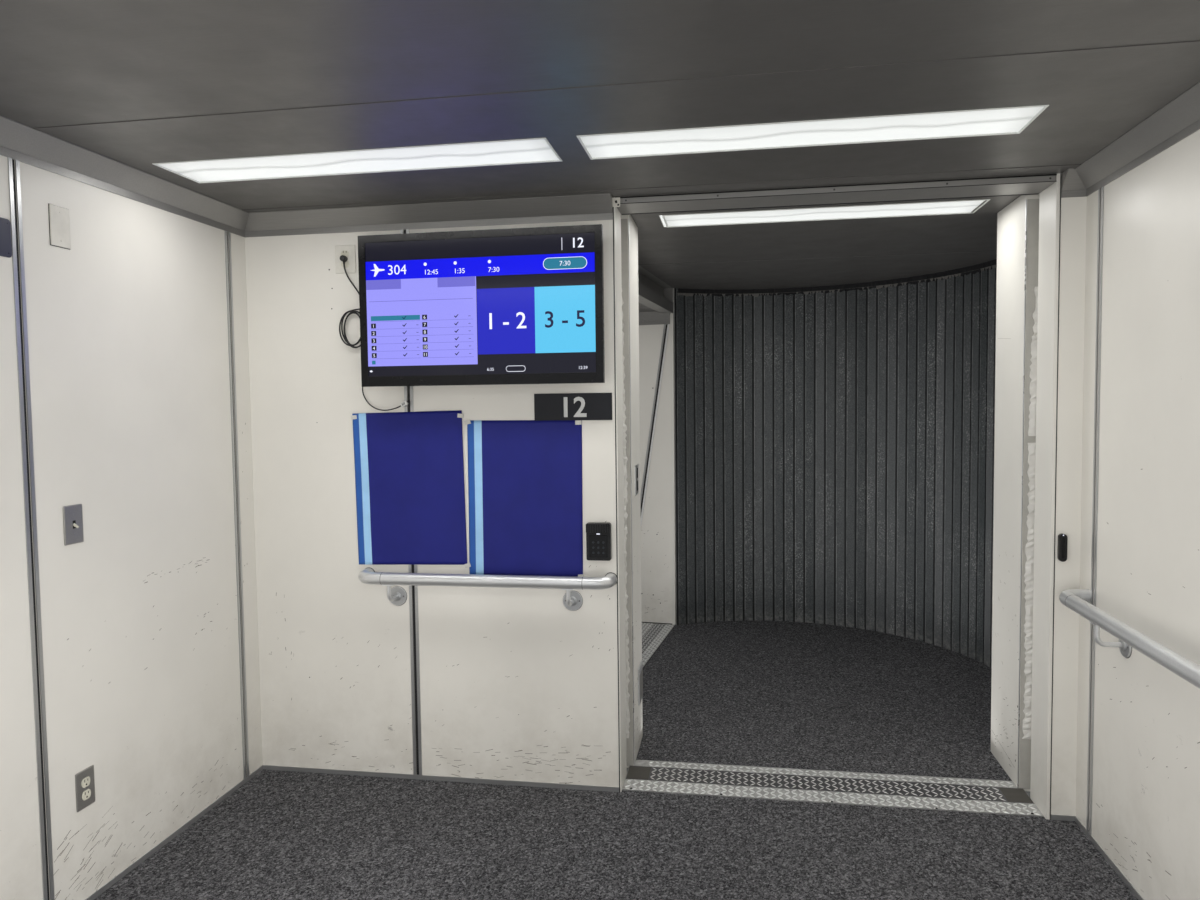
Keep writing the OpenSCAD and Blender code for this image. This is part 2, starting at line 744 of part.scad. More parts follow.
// Ribbed sheet along +X, its flat back on y = 0 and its ribs towards +Y
module ribbed(length, height) {
    n = max(1, floor((length - rib_w) / (rib_w + rib_gap)));
    step = (length - rib_w) / n;
    linear_extrude(height) {
        square([length, clad_t]);
        for (i = [0:n]) translate([i * step, clad_t - 0.01])
            polygon([[0, 0], [rib_w, 0], [rib_w - 12, rib_h], [12, rib_h]]);
    }
}

clad_h = top_z - beam_h;

module cladding_left() color("#cfd1d2") translate([-vest_left - wall_t, -front_y - vest_len, beam_h])
    rotate([0, 0, 90]) ribbed(vest_len + wall_t, clad_h);

module cladding_right() color("#cfd1d2")
    translate([side_x, -front_y + door_depth, beam_h])
        rotate([0, 0, -90]) ribbed(vest_len + door_depth, clad_h);

module cladding_front() color("#cfd1d2")
    translate([-vest_left - wall_t, -front_y + wall_t, beam_h])
        ribbed(door_x - jamb_w + wall_t, clad_h);

mouth_hole_r = 9;
mouth_z = [300, 1900];

module mouth_frame() color("#9a9c9e") in_vestibule() {
    for (s = [0, 1]) translate([s * (vest_w + end_t), 0, 0]) difference() {
        block([-end_t, -vest_len - end_d, -floor_z], [0, -vest_len, ceil_h + ceil_t]);
        for (z = mouth_z) translate([-end_t / 2, -vest_len + eps, z]) rotate([90, 0, 0])
            cylinder(h = end_d + 2 * eps, r = mouth_hole_r, $fn = 32);
    }
    block([0.5, -vest_len - end_d, ceil_h], [vest_w - 0.5, -vest_len, ceil_h + ceil_t]);
}

portal_top = ceil_h + ceil_t;

module portal_posts() color("#a8a7a0") in_tunnel() for (s = [-1, 1])
    block([portal_u, s > 0 ? half_w : -half_w - wall_t, -carpet_t],
        [portal_u + post_face, s > 0 ? half_w + wall_t : -half_w, portal_top]);

// The portal's beam, and over it a box that is open towards the rotunda
module portal_header() color("#8b8a84") in_tunnel() {
    w = half_w - 0.5;
    beam_z = tunnel_h + header_h;
    block([portal_u, -w, tunnel_h - header_low], [portal_u + portal_d, w, beam_z]);
    difference() {
        block([portal_u + 0.5, -w, beam_z + 0.5], [portal_u + portal_d, w, portal_top]);
        block([portal_u, portal_cheek - w, beam_z],
            [portal_u + portal_d - portal_back, w - portal_cheek, ceil_h]);
    }
}

module tunnel_floor() color("dimgray") in_tunnel() {
    u0 = portal_u + 1;
    w = half_w + wall_t;
    block([u0, -w, beam_h - floor_z], [tunnel_end, w, deck_z - floor_z]);
    for (s = [-1, 1]) translate([0, s > 0 ? w - beam_w : -w, 0])
        block([u0, 0, -floor_z], [tunnel_end, beam_w, beam_h - floor_z - 0.5]);
    for (u = [u0 + 2 * beam_w, tunnel_end - beam_w])
        block([u, -w + beam_w + 0.5, -floor_z], [u + beam_w, w - beam_w - 0.5, beam_h - floor_z - 0.5]);
}

ramp_stops = [1, 67, 144, ramp_w];

module tunnel_ramp() color("#b9bcc0") in_tunnel()
    for (i = [0:2]) block([portal_u + ramp_stops[i] + 0.25, -half_w + 0.5, -carpet_t],
        [portal_u + ramp_stops[i + 1] - 0.25, half_w - 0.5, i == 1 ? 0 : plate_step]);

wedge_top = tunnel_h - cove_h - cove_strip_h;

// Strip of the wall along the slanted gasket, on the near (1) or far (-1) side
function wedge_u(z) = portal_u + wedge_in + (wedge_top - z) * tan(wedge_lean);

module wedge_strip(side, e0, e1, d0, d1) {
    z0 = d0 < 0 ? -carpet_t : 0;
    translate([0, side > 0 ? half_w - d0 : -half_w + d1, 0]) rotate([90, 0, 0])
        linear_extrude(d1 - d0)
            polygon([[wedge_u(z0) + e0, z0], [wedge_u(z0) + e1, z0],
                [wedge_u(wedge_top) + e1, wedge_top], [wedge_u(wedge_top) + e0, wedge_top]]);
}

module tunnel_walls() color("#cfccc2") in_tunnel() for (side = [-1, 1]) {
    g = gasket_w / 2;
    z0 = -carpet_t;
    z1 = tunnel_h;
    u0 = portal_u + post_face;
    translate([0, side > 0 ? half_w + wall_t : -half_w, 0]) rotate([90, 0, 0])
        linear_extrude(wall_t) {
            polygon([[u0, z0], [wedge_u(z0) - g, z0], [wedge_u(wedge_top) - g, wedge_top],
                [wedge_u(wedge_top) - g, z1], [u0, z1]]);
            polygon([[wedge_u(z0) + g, z0], [tunnel_end, z0], [tunnel_end, z1],
                [wedge_u(wedge_top) + g, z1], [wedge_u(wedge_top) + g, wedge_top]]);
        }
}

module tunnel_ceiling() color("#6a6a68") in_tunnel()
    block([portal_u + portal_d + 0.5, -half_w - wall_t, tunnel_h],
        [tunnel_end, half_w + wall_t, tunnel_h + ceil_t]);

module tunnel_roof() color("#c4c6c8") in_tunnel() {
    z0 = tunnel_h + ceil_t;
    z1 = portal_top;
    u0 = portal_u + portal_d + 0.5;
    w = half_w + wall_t;
    difference() {
        block([u0, -w, z0], [tunnel_end, w, z1]);
        block([u0 - eps, -w + clad_t, z0 - eps], [tunnel_end + eps, w - clad_t, z1 - clad_t]);
    }
    for (i = [1:3]) translate([u0 + i * (tunnel_end - u0) / 4, -w, z1])
        cube([seam_w, 2 * w, seam_h]);
}

module tunnel_cladding() color("#cfd1d2") in_tunnel() {
    u0 = portal_u - housing_in + housing_l + 2 * hoop_t;
    w = half_w + wall_t;
    z0 = beam_h - floor_z;
    h = portal_top - z0;
    translate([u0, w, z0]) ribbed(tunnel_end - u0, h);
    translate([tunnel_end, -w, z0]) rotate([0, 0, 180]) ribbed(tunnel_end - u0, h);
}

// Flanged ring that the next bay of the tunnel bolts to
module tunnel_frame() color("#9a9c9e") in_tunnel() {
    w = half_w + wall_t;
    difference() {
        block([tunnel_end, -w, -floor_z], [tunnel_end + end_d, w, portal_top]);
        block([tunnel_end - eps, -half_w, 0], [tunnel_end + end_d + eps, half_w, tunnel_h]);
    }
}

// A handrail along +X with the wall at y = 0, its ends turned back to the wall
module handrail(length, brackets) {
    y = -rail_out;
    translate([rail_bend, y, 0]) rotate([0, 90, 0])
        cylinder(h = length - 2 * rail_bend, r = rail_r);
    for (m = [0, 1]) translate([m * length, 0, 0]) mirror([m, 0, 0]) {
        translate([rail_bend, y + rail_bend, 0]) rotate([0, 0, 180]) rotate_extrude(angle = 90)
            translate([rail_bend, 0]) circle(rail_r);
        rotate([90, 0, 0]) cylinder(h = rail_out - rail_bend, r = rail_r);
    }
    for (x = brackets) translate([x, 0, -bracket_drop]) rail_bracket();
}

// A flange on the wall, an arm that bends upwards and a saddle under the rail
module rail_bracket() {
    arm_r = 8;
    arm_bend = 26;
    saddle_t = 4;
    saddle_w = 44;
    saddle_d = 26;
    rotate([90, 0, 0]) cylinder(h = 6, r = bracket_r);
    rotate([90, 0, 0]) cylinder(h = 14, r = bracket_r * 0.45);
    rotate([90, 0, 0]) cylinder(h = rail_out - arm_bend, r = arm_r);
    translate([0, arm_bend - rail_out, arm_bend]) rotate([0, 90, 0]) rotate([0, 0, -90])
        rotate_extrude(angle = 90) translate([arm_bend, 0]) circle(arm_r);
    translate([0, -rail_out, arm_bend])
        cylinder(h = bracket_drop - arm_bend - rail_r + 2, r = arm_r);
    translate([-saddle_w / 2, -rail_out - saddle_d / 2, bracket_drop - rail_r - 1])
        cube([saddle_w, saddle_d, saddle_t]);
}

front_bracket = 120;

module handrail_front() color("#c6c8ca") in_vestibule()
    translate([door_x - front_rail_side - front_rail_l, 0, rail_z])
        handrail(front_rail_l, [front_bracket, front_bracket + front_rail_span]);

side_rail_y = 78;
side_bracket = 287;

module handrail_right() color("#c6c8ca") in_vestibule()
    translate([vest_w, -side_rail_y, side_rail_z]) rotate([0, 0, -90])
        handrail(2 * bay + side_rail_extra, [for (i = [0:2]) side_bracket + i * bay]);

tv_x = door_x - tv_side - tv_w;
tv_z = ceil_h - tv_drop - tv_h;
tv_in = 40;

// The monitor with its recessed screen, its deeper back and its wall bracket
module monitor() color("#141416") in_vestibule() translate([tv_x, -tv_out - tv_t, tv_z]) {
    difference() {
        cube([tv_w, tv_front, tv_h]);
        translate([tv_bezel, -eps, tv_chin])
            cube([tv_w - 2 * tv_bezel, 3 + eps, tv_h - tv_bezel - tv_chin]);
    }
    translate([tv_in, tv_front, tv_in]) cube([tv_w - 2 * tv_in, tv_t - tv_front, tv_h - 2 * tv_in]);
    x = (tv_w - tv_mount) / 2;
    z = (tv_h - tv_mount) / 2;
    translate([x, tv_t + tv_out - 4, z]) cube([tv_mount, 4, tv_mount]);
    for (dx = [0, tv_mount - 30]) translate([x + dx, tv_t, z])
        cube([30, tv_out - 4, tv_mount]);
}

// Shapes drawn on the front wall, towards the vestibule
module at_front(x, z) translate([x, 0, z]) rotate([90, 0, 0]) children();

// Shapes drawn on the left wall, from a distance to the front wall and a height
module at_left(y, z) translate([0, -y, z]) rotate([90, 0, 90]) children();

poster_x = door_x - poster_side - poster_w;

module posters() color("#20286c") in_vestibule() {
    translate([poster_x - poster_w - 7, -strip_t - 1, poster_z + 32])
        rotate([0, -poster_tilt, 0]) cube([poster_w, 1, poster_h]);
    translate([poster_x, -1, poster_z]) cube([poster_w, 1, poster_h]);
}

sign_side = 19;
reader_side = 28;

module sign_plate() color("#1c1e22") in_vestibule()
    at_front(door_x - sign_side - sign_w, sign_z) linear_extrude(6) square([sign_w, sign_h]);

slim_x = door_x1 + flange_r + 12;

module card_readers() color("#17181a") in_vestibule() {
    at_front(door_x - reader_side - reader_w, reader_z) {
        linear_extrude(26) rounded(reader_w, reader_h, 7);
        translate([0, reader_h * 0.75]) linear_extrude(32) rounded(reader_w, reader_h * 0.25, 7);
    }
    at_front(slim_x, reader_z + 24) linear_extrude(15) rounded(slim_w, slim_h, slim_w / 2 - 0.5);
}

// A plate with bevelled edges that lies in the XY plane
module plate(w, h) hull() {
    cube([w, h, 1]);
    translate([plate_t / 2, plate_t / 2, plate_t - 1]) cube([w - plate_t, h - plate_t, 1]);
}

lever_w = 8;
wide_in = 21;
wide_drop = 253;
wide_w = 200;
wide_h = 104;
power_w = 86;
power_h = 111;
strike_y = 370;
strike_z = 1122;
strike_w = 105;
strike_h = 124;
strike_slot = 40;
strike_edge = 12;
low_y = 400;
low_z = 200;
low_w = 125;
low_h = 160;
low_t = 8;

module wall_plates() color("#8b8a86") in_vestibule() {
    // Plates on the left wall beside its second gasket
    y = corner_bay + bay - plate_in;
    at_left(y, ceil_h - blank_drop - plate_h) plate(plate_w, plate_h);
    at_left(y, switch_z) {
        plate(plate_w, plate_h);
        translate([(plate_w - lever_w) / 2, plate_h / 2, plate_t - 2]) rotate([30, 0, 0])
            cube([lever_w, lever_w, 18]);
    }
    at_left(y, outlet_z) {
        plate(plate_w, plate_h);
        for (z = [-20, 20]) translate([plate_w / 2, plate_h / 2 + z, plate_t - 1])
            intersection() {
                cylinder(h = 3, r = 17);
                translate([-17, -14, 0]) cube([34, 28, 3]);
            }
    }
    // Rounded plate in the next bay
    at_left(corner_bay + bay + wide_in + wide_w, ceil_h - wide_drop - wide_h)
        linear_extrude(3) rounded(wide_w, wide_h, 8);
    at_front(plug_x - power_w / 2, plug_z - power_h / 2) plate(power_w, power_h);
    // Strike plate and a plain plate on the left jamb
    translate([door_x + return_step, 0, 0]) rotate([90, 0, 90]) {
        translate([strike_y, strike_z]) linear_extrude(2) difference() {
            square([strike_w, strike_h]);
            for (z = [strike_edge, (strike_h + strike_edge) / 2])
                translate([strike_w - strike_slot - strike_edge, z])
                    square([strike_slot, strike_h / 2 - 1.5 * strike_edge]);
        }
        translate([low_y, low_z]) linear_extrude(low_t) square([low_w, low_h]);
    }
}

// Sides of a tube's rings, turned as little as possible from one ring to the next
function unit(v) = v / norm(v);
function heading(p, i) = unit(p[min(i + 1, len(p) - 1)] - p[max(i - 1, 0)]);
function ring_sides(p, i, s) = i == len(p) ? [] :
    let (t = heading(p, i), v = unit(s - t * (s * t))) concat([v], ring_sides(p, i + 1, v));

// A tube of diameter d through the points p
module tube(p, d) {
    n = 8;
    s = ring_sides(p, 0, [0.3, 0.5, 0.8]);
    points = [for (i = [0:len(p) - 1]) let (u = cross(heading(p, i), s[i])) for (k = [0:n - 1])
        p[i] + d / 2 * (cos(k * 360 / n) * s[i] + sin(k * 360 / n) * u)];
    last = (len(p) - 1) * n;
    sides = [for (i = [0:len(p) - 2], k = [0:n - 1]) let (a = i * n, b = (k + 1) % n)
        [a + k, a + n + k, a + n + b, a + b]];
    polyhedron(points, concat([[for (k = [0:n - 1]) k]],
        [[for (k = [n - 1:-1:0]) last + k]], sides));
}

// Routes of the cords, from the front wall's left end at carpet height
plug_x = 433;
plug_drop = 188;
plug_z = ceil_h - plug_drop;
hank_side = 37;
hank_drop = 278;
link_side = 128.5;
link_drop = 67;
link_out = 28;
screen_cord_d = 6;
screen_route_a = [[433, -17, 2086], [433, -17, 2074], [435, -17, 2061], [439, -16, 2046],
    [446, -15, 2029], [455, -13, 2012], [466, -11, 1996], [477, -9, 1980], [487, -7, 1964],
    [496, -6, 1948], [503, -5, 1931], [507, -4, 1914], [510, -4, 1899], [510.5, -4, 1886]];
screen_route_b = [[499, -32, 1896], [512, -32, 1897], [526, -33, 1897], [542, -34, 1897],
    [560, -34, 1895], [578, -33, 1892], [596, -32, 1889], [612, -32, 1886], [626, -34, 1884],
    [636, -40, 1882], [640, -50, 1881], [641, -59.7, 1880]];
loop_cord_d = 5;
loop_route_a = [[598, -59.7, 1684], [596, -49, 1680], [590, -39, 1673], [579, -32, 1664],
    [565, -29, 1654], [550, -28, 1644], [536, -28, 1634], [523, -28, 1623], [511, -28, 1610],
    [504, -28, 1596], [502, -28, 1581], [504, -28, 1565], [510, -28, 1549], [519, -28, 1534],
    [531, -28, 1520], [546, -28, 1509], [563, -28, 1501], [582, -28, 1497], [601, -28, 1496],
    [619, -28, 1499], [636, -28, 1503], [650, -28, 1508], [663, -28, 1514]];
loop_route_b = [[688, -28, 1528], [695, -29, 1534], [699, -31, 1544], [700, -34, 1556],
    [700, -38, 1569], [700, -44, 1582], [700, -52, 1594], [700, -62, 1605], [700, -71, 1616],
    [700, -75, 1627.7]];
hank_r = 57;
hank_l = 46;
hank_t = 34;

module cord_plug() color("#1a1a1c") in_vestibule() at_front(plug_x, plug_z) {
    translate([0, 0, plate_t + 0.3]) cylinder(h = 24, r = 11);
    translate([0, -8, 17]) rotate([90, 0, 0]) cylinder(h = 3.8, r = 5);
}

module screen_cord() color("#1a1a1c") in_vestibule() {
    tube(screen_route_a, screen_cord_d);
    tube(screen_route_b, screen_cord_d);
}

module cord_hank() color("#1a1a1c") in_vestibule() translate([0, -0.5, 0])
    at_front(plug_x + hank_side, plug_z - hank_drop)
    linear_extrude(hank_t) {
        square([2 * hank_r, hank_l], center = true);
        for (s = [-1, 1]) translate([0, s * hank_l / 2]) circle(hank_r);
    }

module loop_cord() color("#1a1a1c") in_vestibule() {
    tube(loop_route_a, loop_cord_d);
    tube(loop_route_b, loop_cord_d);
}

module loop_connector() color("#e4e4e0") in_vestibule()
    translate([tv_x + link_side, -link_out, tv_z - link_drop]) rotate([0, -30, 0])
        cube([28, 12, 16], center = true);

floor_frame();
rotunda_base();
floor_deck();
carpets();
door_sill();
left_wall();
right_wall();
front_wall();
wall_gaskets();
wall_strips();
cove_trims();
vestibule_ceiling();
ceiling_battens();
light_trays();
light_lenses();
door_jamb_left();
door_jamb_right();
door_header();
curtain_1();
curtain_2();
curtain_3();
curtain_left();
curtain_rail();
curtain_guides();
curtain_housings();
rotunda_ceiling();
rotunda_roof();
vestibule_roof();
cladding_left();
cladding_right();
cladding_front();
mouth_frame();
portal_posts();
portal_header();
tunnel_floor();
tunnel_ramp();
tunnel_walls();
tunnel_ceiling();
tunnel_roof();
tunnel_cladding();
tunnel_frame();
handrail_front();
handrail_right();
monitor();
posters();
sign_plate();
card_readers();
wall_plates();
cord_plug();
screen_cord();
cord_hank();
loop_cord();
loop_connector();
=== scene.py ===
"""Looks of the rotunda section of a jet bridge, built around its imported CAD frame."""

import json
import math
import random

import bmesh
import bpy
from mathutils import Matrix, Vector


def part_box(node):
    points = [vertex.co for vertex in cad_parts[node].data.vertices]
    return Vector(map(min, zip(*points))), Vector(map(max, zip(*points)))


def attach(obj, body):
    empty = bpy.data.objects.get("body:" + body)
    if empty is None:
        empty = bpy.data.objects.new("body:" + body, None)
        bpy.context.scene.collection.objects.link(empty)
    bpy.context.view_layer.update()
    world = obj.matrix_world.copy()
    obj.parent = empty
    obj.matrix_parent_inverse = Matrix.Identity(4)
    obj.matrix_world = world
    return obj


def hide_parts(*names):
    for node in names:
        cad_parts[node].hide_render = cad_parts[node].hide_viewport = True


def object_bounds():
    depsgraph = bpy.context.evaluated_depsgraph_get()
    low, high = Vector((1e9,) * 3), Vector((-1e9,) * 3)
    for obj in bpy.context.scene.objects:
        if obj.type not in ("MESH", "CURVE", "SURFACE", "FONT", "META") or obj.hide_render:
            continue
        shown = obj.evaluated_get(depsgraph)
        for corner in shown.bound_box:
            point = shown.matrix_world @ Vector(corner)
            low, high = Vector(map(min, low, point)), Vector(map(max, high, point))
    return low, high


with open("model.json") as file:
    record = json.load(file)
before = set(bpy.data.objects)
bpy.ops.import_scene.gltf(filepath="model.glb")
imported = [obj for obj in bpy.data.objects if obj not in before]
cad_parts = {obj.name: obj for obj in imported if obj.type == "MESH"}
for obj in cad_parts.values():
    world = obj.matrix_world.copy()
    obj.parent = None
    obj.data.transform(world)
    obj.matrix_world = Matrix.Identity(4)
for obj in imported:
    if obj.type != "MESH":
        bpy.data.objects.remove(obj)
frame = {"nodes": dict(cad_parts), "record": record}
cad_low, cad_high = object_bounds()
NODES = frame["nodes"]

# Places in the part's frame, read from the CAD nodes, in metres
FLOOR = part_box("carpets")[1].z
WALL_X0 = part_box("left_wall")[1].x
WALL_X1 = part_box("right_wall")[0].x
FRONT_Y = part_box("front_wall")[0].y
MOUTH_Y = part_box("left_wall")[0].y
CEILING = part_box("vestibule_ceiling")[0].z


def at(x, y, z):
    """A point given from the left wall, the front wall and the carpet, y positive into the rotunda."""
    return Vector((WALL_X0 + x, FRONT_Y + y, FLOOR + z))


# Camera, solved from the photograph's perspective
CAMERA_AT = at(1.972, -3.164, 1.504)
CAMERA_YAW = math.radians(-9.386)
CAMERA_PITCH = math.radians(-3.013)
CAMERA_ROLL = math.radians(-0.688)
CAMERA_LENS = 25.165


def make_camera():
    forward = Vector((math.sin(CAMERA_YAW), math.cos(CAMERA_YAW), 0))
    right = Vector((math.cos(CAMERA_YAW), -math.sin(CAMERA_YAW), 0))
    up = Vector((0, 0, 1))
    aim = forward * math.cos(CAMERA_PITCH) + up * math.sin(CAMERA_PITCH)
    rise = up * math.cos(CAMERA_PITCH) - forward * math.sin(CAMERA_PITCH)
    side = right * math.cos(CAMERA_ROLL) + rise * math.sin(CAMERA_ROLL)
    rise = rise * math.cos(CAMERA_ROLL) - right * math.sin(CAMERA_ROLL)
    data = bpy.data.cameras.new("camera")
    data.sensor_width = 36
    data.lens = CAMERA_LENS
    data.clip_start = 0.02
    camera = bpy.data.objects.new("camera", data)
    camera.matrix_world = Matrix.Translation(CAMERA_AT) @ Matrix((side, rise, -aim)).transposed().to_4x4()
    bpy.context.scene.collection.objects.link(camera)
    bpy.context.scene.camera = camera


make_camera()


class Finish:
    """A material's nodes, with short calls for what the finishes here share."""

    def __init__(self, name):
        self.material = bpy.data.materials.new(name)
        self.material.use_nodes = True
        self.tree = self.material.node_tree
        self.tree.nodes.clear()
        self.shader = self.add("ShaderNodeBsdfPrincipled")
        out = self.add("ShaderNodeOutputMaterial")
        self.tree.links.new(self.shader.outputs["BSDF"], out.inputs["Surface"])
        self.place = self.add("ShaderNodeTexCoord").outputs["Object"]

    def add(self, kind, **values):
        node = self.tree.nodes.new(kind)
        for key, value in values.items():
            setattr(node, key, value)
        return node

    def link(self, source, socket):
        self.tree.links.new(source, socket)

    def feed(self, socket, value):
        """Links another node's output to a socket, or sets a number or colour on it."""
        if isinstance(value, bpy.types.NodeSocket):
            self.link(value, socket)
        else:
            socket.default_value = (*value, 1) if isinstance(value, tuple) else value

    def put(self, **values):
        """Sets or links the shader's sockets; an underscore stands for a space."""
        for key, value in values.items():
            self.feed(self.shader.inputs[key.replace("_", " ")], value)

    def scaled(self, x, y, z):
        node = self.add("ShaderNodeMapping")
        node.inputs["Scale"].default_value = (x, y, z)
        self.link(self.place, node.inputs["Vector"])
        return node.outputs["Vector"]

    def noise(self, scale, detail=4.0, rough=0.6, place=None):
        node = self.add("ShaderNodeTexNoise")
        node.inputs["Scale"].default_value = scale
        node.inputs["Detail"].default_value = detail
        node.inputs["Roughness"].default_value = rough
        self.link(place or self.place, node.inputs["Vector"])
        return node.outputs["Fac"]

    def cells(self, scale, output="Distance"):
        node = self.add("ShaderNodeTexVoronoi")
        node.inputs["Scale"].default_value = scale
        self.link(self.place, node.inputs["Vector"])
        return node.outputs[output]

    def grains(self, scale):
        """A value of its own for each small cell."""
        return self.cells(scale, "Color")

    def span(self, value, low, high, to_low=0.0, to_high=1.0):
        """Maps low..high to to_low..to_high, clamped."""
        node = self.add("ShaderNodeMapRange")
        self.link(value, node.inputs["Value"])
        for key, number in (("From Min", low), ("From Max", high), ("To Min", to_low), ("To Max", to_high)):
            node.inputs[key].default_value = number
        return node.outputs["Result"]

    def math(self, kind, a, b):
        node = self.add("ShaderNodeMath", operation=kind)
        for socket, value in zip(node.inputs, (a, b)):
            self.feed(socket, value)
        return node.outputs[0]

    def times(self, a, b):
        return self.math("MULTIPLY", a, b)

    def mix(self, factor, a, b):
        node = self.add("ShaderNodeMix", data_type="RGBA")
        for index, value in ((0, factor), (6, a), (7, b)):
            self.feed(node.inputs[index], value)
        return node.outputs[2]

    def axis(self, index):
        node = self.add("ShaderNodeSeparateXYZ")
        self.link(self.place, node.inputs[0])
        return node.outputs[index]

    def bump(self, height, strength, distance=0.001):
        node = self.add("ShaderNodeBump")
        node.inputs["Strength"].default_value = strength
        node.inputs["Distance"].default_value = distance
        self.link(height, node.inputs["Height"])
        self.link(node.outputs["Normal"], self.shader.inputs["Normal"])
        return self


def near_floor(f, top):
    """1 at the carpet, fading to 0 at a height of top."""
    return f.span(f.axis(2), FLOOR, FLOOR + top, 1.0, 0.0)


def scuffed_paint(name, colour, wear=1.0):
    f = Finish(name)
    cloud = f.span(f.noise(1.6, 5), 0.35, 0.7)
    base = f.mix(cloud, colour, tuple(c * 0.93 for c in colour))
    grime = f.times(near_floor(f, 0.55), f.span(f.noise(5, 8, 0.7), 0.42, 0.75))
    base = f.mix(f.times(grime, 0.38 * wear), base, (0.30, 0.26, 0.20))
    marks = f.span(f.noise(9, 12, 0.78, f.scaled(1, 1, 1.7)), 0.635, 0.66)
    low = f.math("POWER", near_floor(f, 0.95), 1.6)
    marks = f.times(marks, low)
    base = f.mix(f.times(marks, 0.75 * wear), base, (0.12, 0.11, 0.10))
    flecks = f.span(f.noise(70, 6, 0.7), 0.70, 0.73)
    flecks = f.times(flecks, f.span(f.noise(1.1, 2), 0.52, 0.62))
    base = f.mix(f.times(flecks, 0.55 * wear), base, (0.10, 0.09, 0.08))
    f.put(Base_Color=base, Roughness=f.span(f.noise(3, 4), 0.3, 0.7, 0.34, 0.46))
    return f.bump(f.noise(260, 3), 0.12, 0.0004).material


def satin_metal(name, colour, rough=0.38, metallic=0.55, grain=(2, 90, 90)):
    f = Finish(name)
    streak = f.span(f.noise(4, 5, 0.6, f.scaled(*grain)), 0.3, 0.7)
    base = f.mix(streak, tuple(c * 0.93 for c in colour), tuple(c * 1.06 for c in colour))
    smear = f.span(f.noise(2.2, 6), 0.45, 0.75)
    base = f.mix(f.times(smear, 0.22), base, tuple(c * 0.8 for c in colour))
    f.put(Base_Color=base, Metallic=metallic)
    f.put(Roughness=f.span(f.noise(6, 5, 0.6), 0.3, 0.7, rough - 0.05, rough + 0.07))
    return f.bump(streak, 0.05, 0.0003).material


def plain(name, colour, rough=0.5, metallic=0.0, bump=0.08, scale=180, gloss=0.5):
    f = Finish(name)
    base = f.mix(f.span(f.noise(14, 4), 0.35, 0.7), colour, tuple(c * 0.86 for c in colour))
    f.put(Base_Color=base, Metallic=metallic, Specular_IOR_Level=gloss)
    f.put(Roughness=f.span(f.noise(20, 3), 0.3, 0.7, rough - 0.04, rough + 0.06))
    return f.bump(f.noise(scale, 3), bump, 0.0004).material


def carpet_pile(name):
    f = Finish(name)
    fine = f.math("POWER", f.grains(265), 2.2)
    coarse = f.math("POWER", f.grains(125), 3.0)
    tone = f.math("ADD", f.times(fine, 0.75), f.times(coarse, 0.75))
    base = f.mix(tone, (0.006, 0.006, 0.008), (0.262, 0.260, 0.272))
    worn = f.span(f.noise(0.9, 4), 0.35, 0.7)
    base = f.mix(f.times(worn, 0.12), base, (0.075, 0.073, 0.072))
    f.put(Base_Color=base, Roughness=0.95, Specular_IOR_Level=0.1)
    height = f.math("ADD", f.span(f.cells(265), 0.0, 0.6, 1.0, 0.0), f.noise(200, 2))
    return f.bump(height, 0.8, 0.002).material


# Slats of the curtain: the first one's angle and the step from one to the next, in degrees
SLAT_FIRST = -45.825
SLAT_STEP = 3.22619


def galvanised(name):
    """Dusty zinc, with painted shade in the slats' grooves, a painted highlight along one edge of each, and
    painted light that makes the slats lighter towards low angles round the axis.
    """
    f = Finish(name)
    angle = f.math("DEGREES", f.math("ARCTAN2", f.axis(1), f.axis(0)), 0.0)
    turn = f.math("DIVIDE", f.math("SUBTRACT", angle, SLAT_FIRST), SLAT_STEP)
    phase = f.math("FRACT", turn, 0.0)
    own = f.add("ShaderNodeTexWhiteNoise", noise_dimensions="1D")
    f.link(f.math("FLOOR", turn, 0.0), own.inputs["W"])
    base = f.mix(f.grains(240), (0.021, 0.027, 0.030), (0.104, 0.112, 0.116))
    # Painted light: the slats are lighter towards -40 degrees round the axis and darker towards 121, by a
    # different amount on each slat
    shade = f.times(f.span(own.outputs["Value"], 0, 1, 0.0, 0.52), f.span(angle, -40, 121, 2.0, 0.25))
    base = f.mix(shade, base, (0.17, 0.175, 0.18))
    drift = f.span(f.noise(7, 5, 0.7, f.scaled(1, 1, 0.3)), 0.46, 0.66)
    dust = f.times(f.span(f.grains(150), 0.62, 0.95), drift)
    # Real dust speckles, which the painted light also makes stronger at low angles round the axis and weaker
    # towards 121 degrees
    base = f.mix(f.times(dust, f.span(angle, -40, 121, 0.85, 0.42)), base, (0.56, 0.565, 0.56))
    # Masks for the painted shade in each slat's groove and the painted highlight along one edge of its face
    groove = f.math("MAXIMUM", f.span(phase, 0.075, 0.125, 1, 0), f.span(phase, 0.900, 0.925, 0, 1))
    edge = f.times(f.span(phase, 0.862, 0.880, 0, 1), f.span(phase, 0.892, 0.905, 1, 0))
    edge = f.times(edge, f.span(f.noise(30, 5, 0.7, f.scaled(1, 1, 0.4)), 0.40, 0.60, 0.25, 0.95))
    # The painted highlight along each slat's edge
    base = f.mix(edge, base, (0.46, 0.47, 0.475))
    foot = f.times(near_floor(f, 0.10), f.span(f.noise(40, 6, 0.7), 0.4, 0.7))
    base = f.mix(f.times(foot, 0.75), base, (0.34, 0.34, 0.33))
    # The painted shade in the grooves goes on last
    base = f.mix(f.times(groove, 0.86), base, (0.010, 0.010, 0.011))
    f.put(Base_Color=base, Metallic=0.2)
    f.put(Roughness=f.span(dust, 0, 1, 0.46, 0.7))
    return f.bump(f.noise(190, 4), 0.25, 0.0005).material


def tread_metal(name):
    f = Finish(name)
    worn = f.span(f.noise(26, 6, 0.7), 0.4, 0.7)
    base = f.mix(worn, (0.40, 0.40, 0.39), (0.66, 0.66, 0.65))
    f.put(Base_Color=base, Metallic=0.35, Roughness=f.span(worn, 0, 1, 0.5, 0.36))
    return f.bump(f.noise(240, 4), 0.2, 0.0004).material


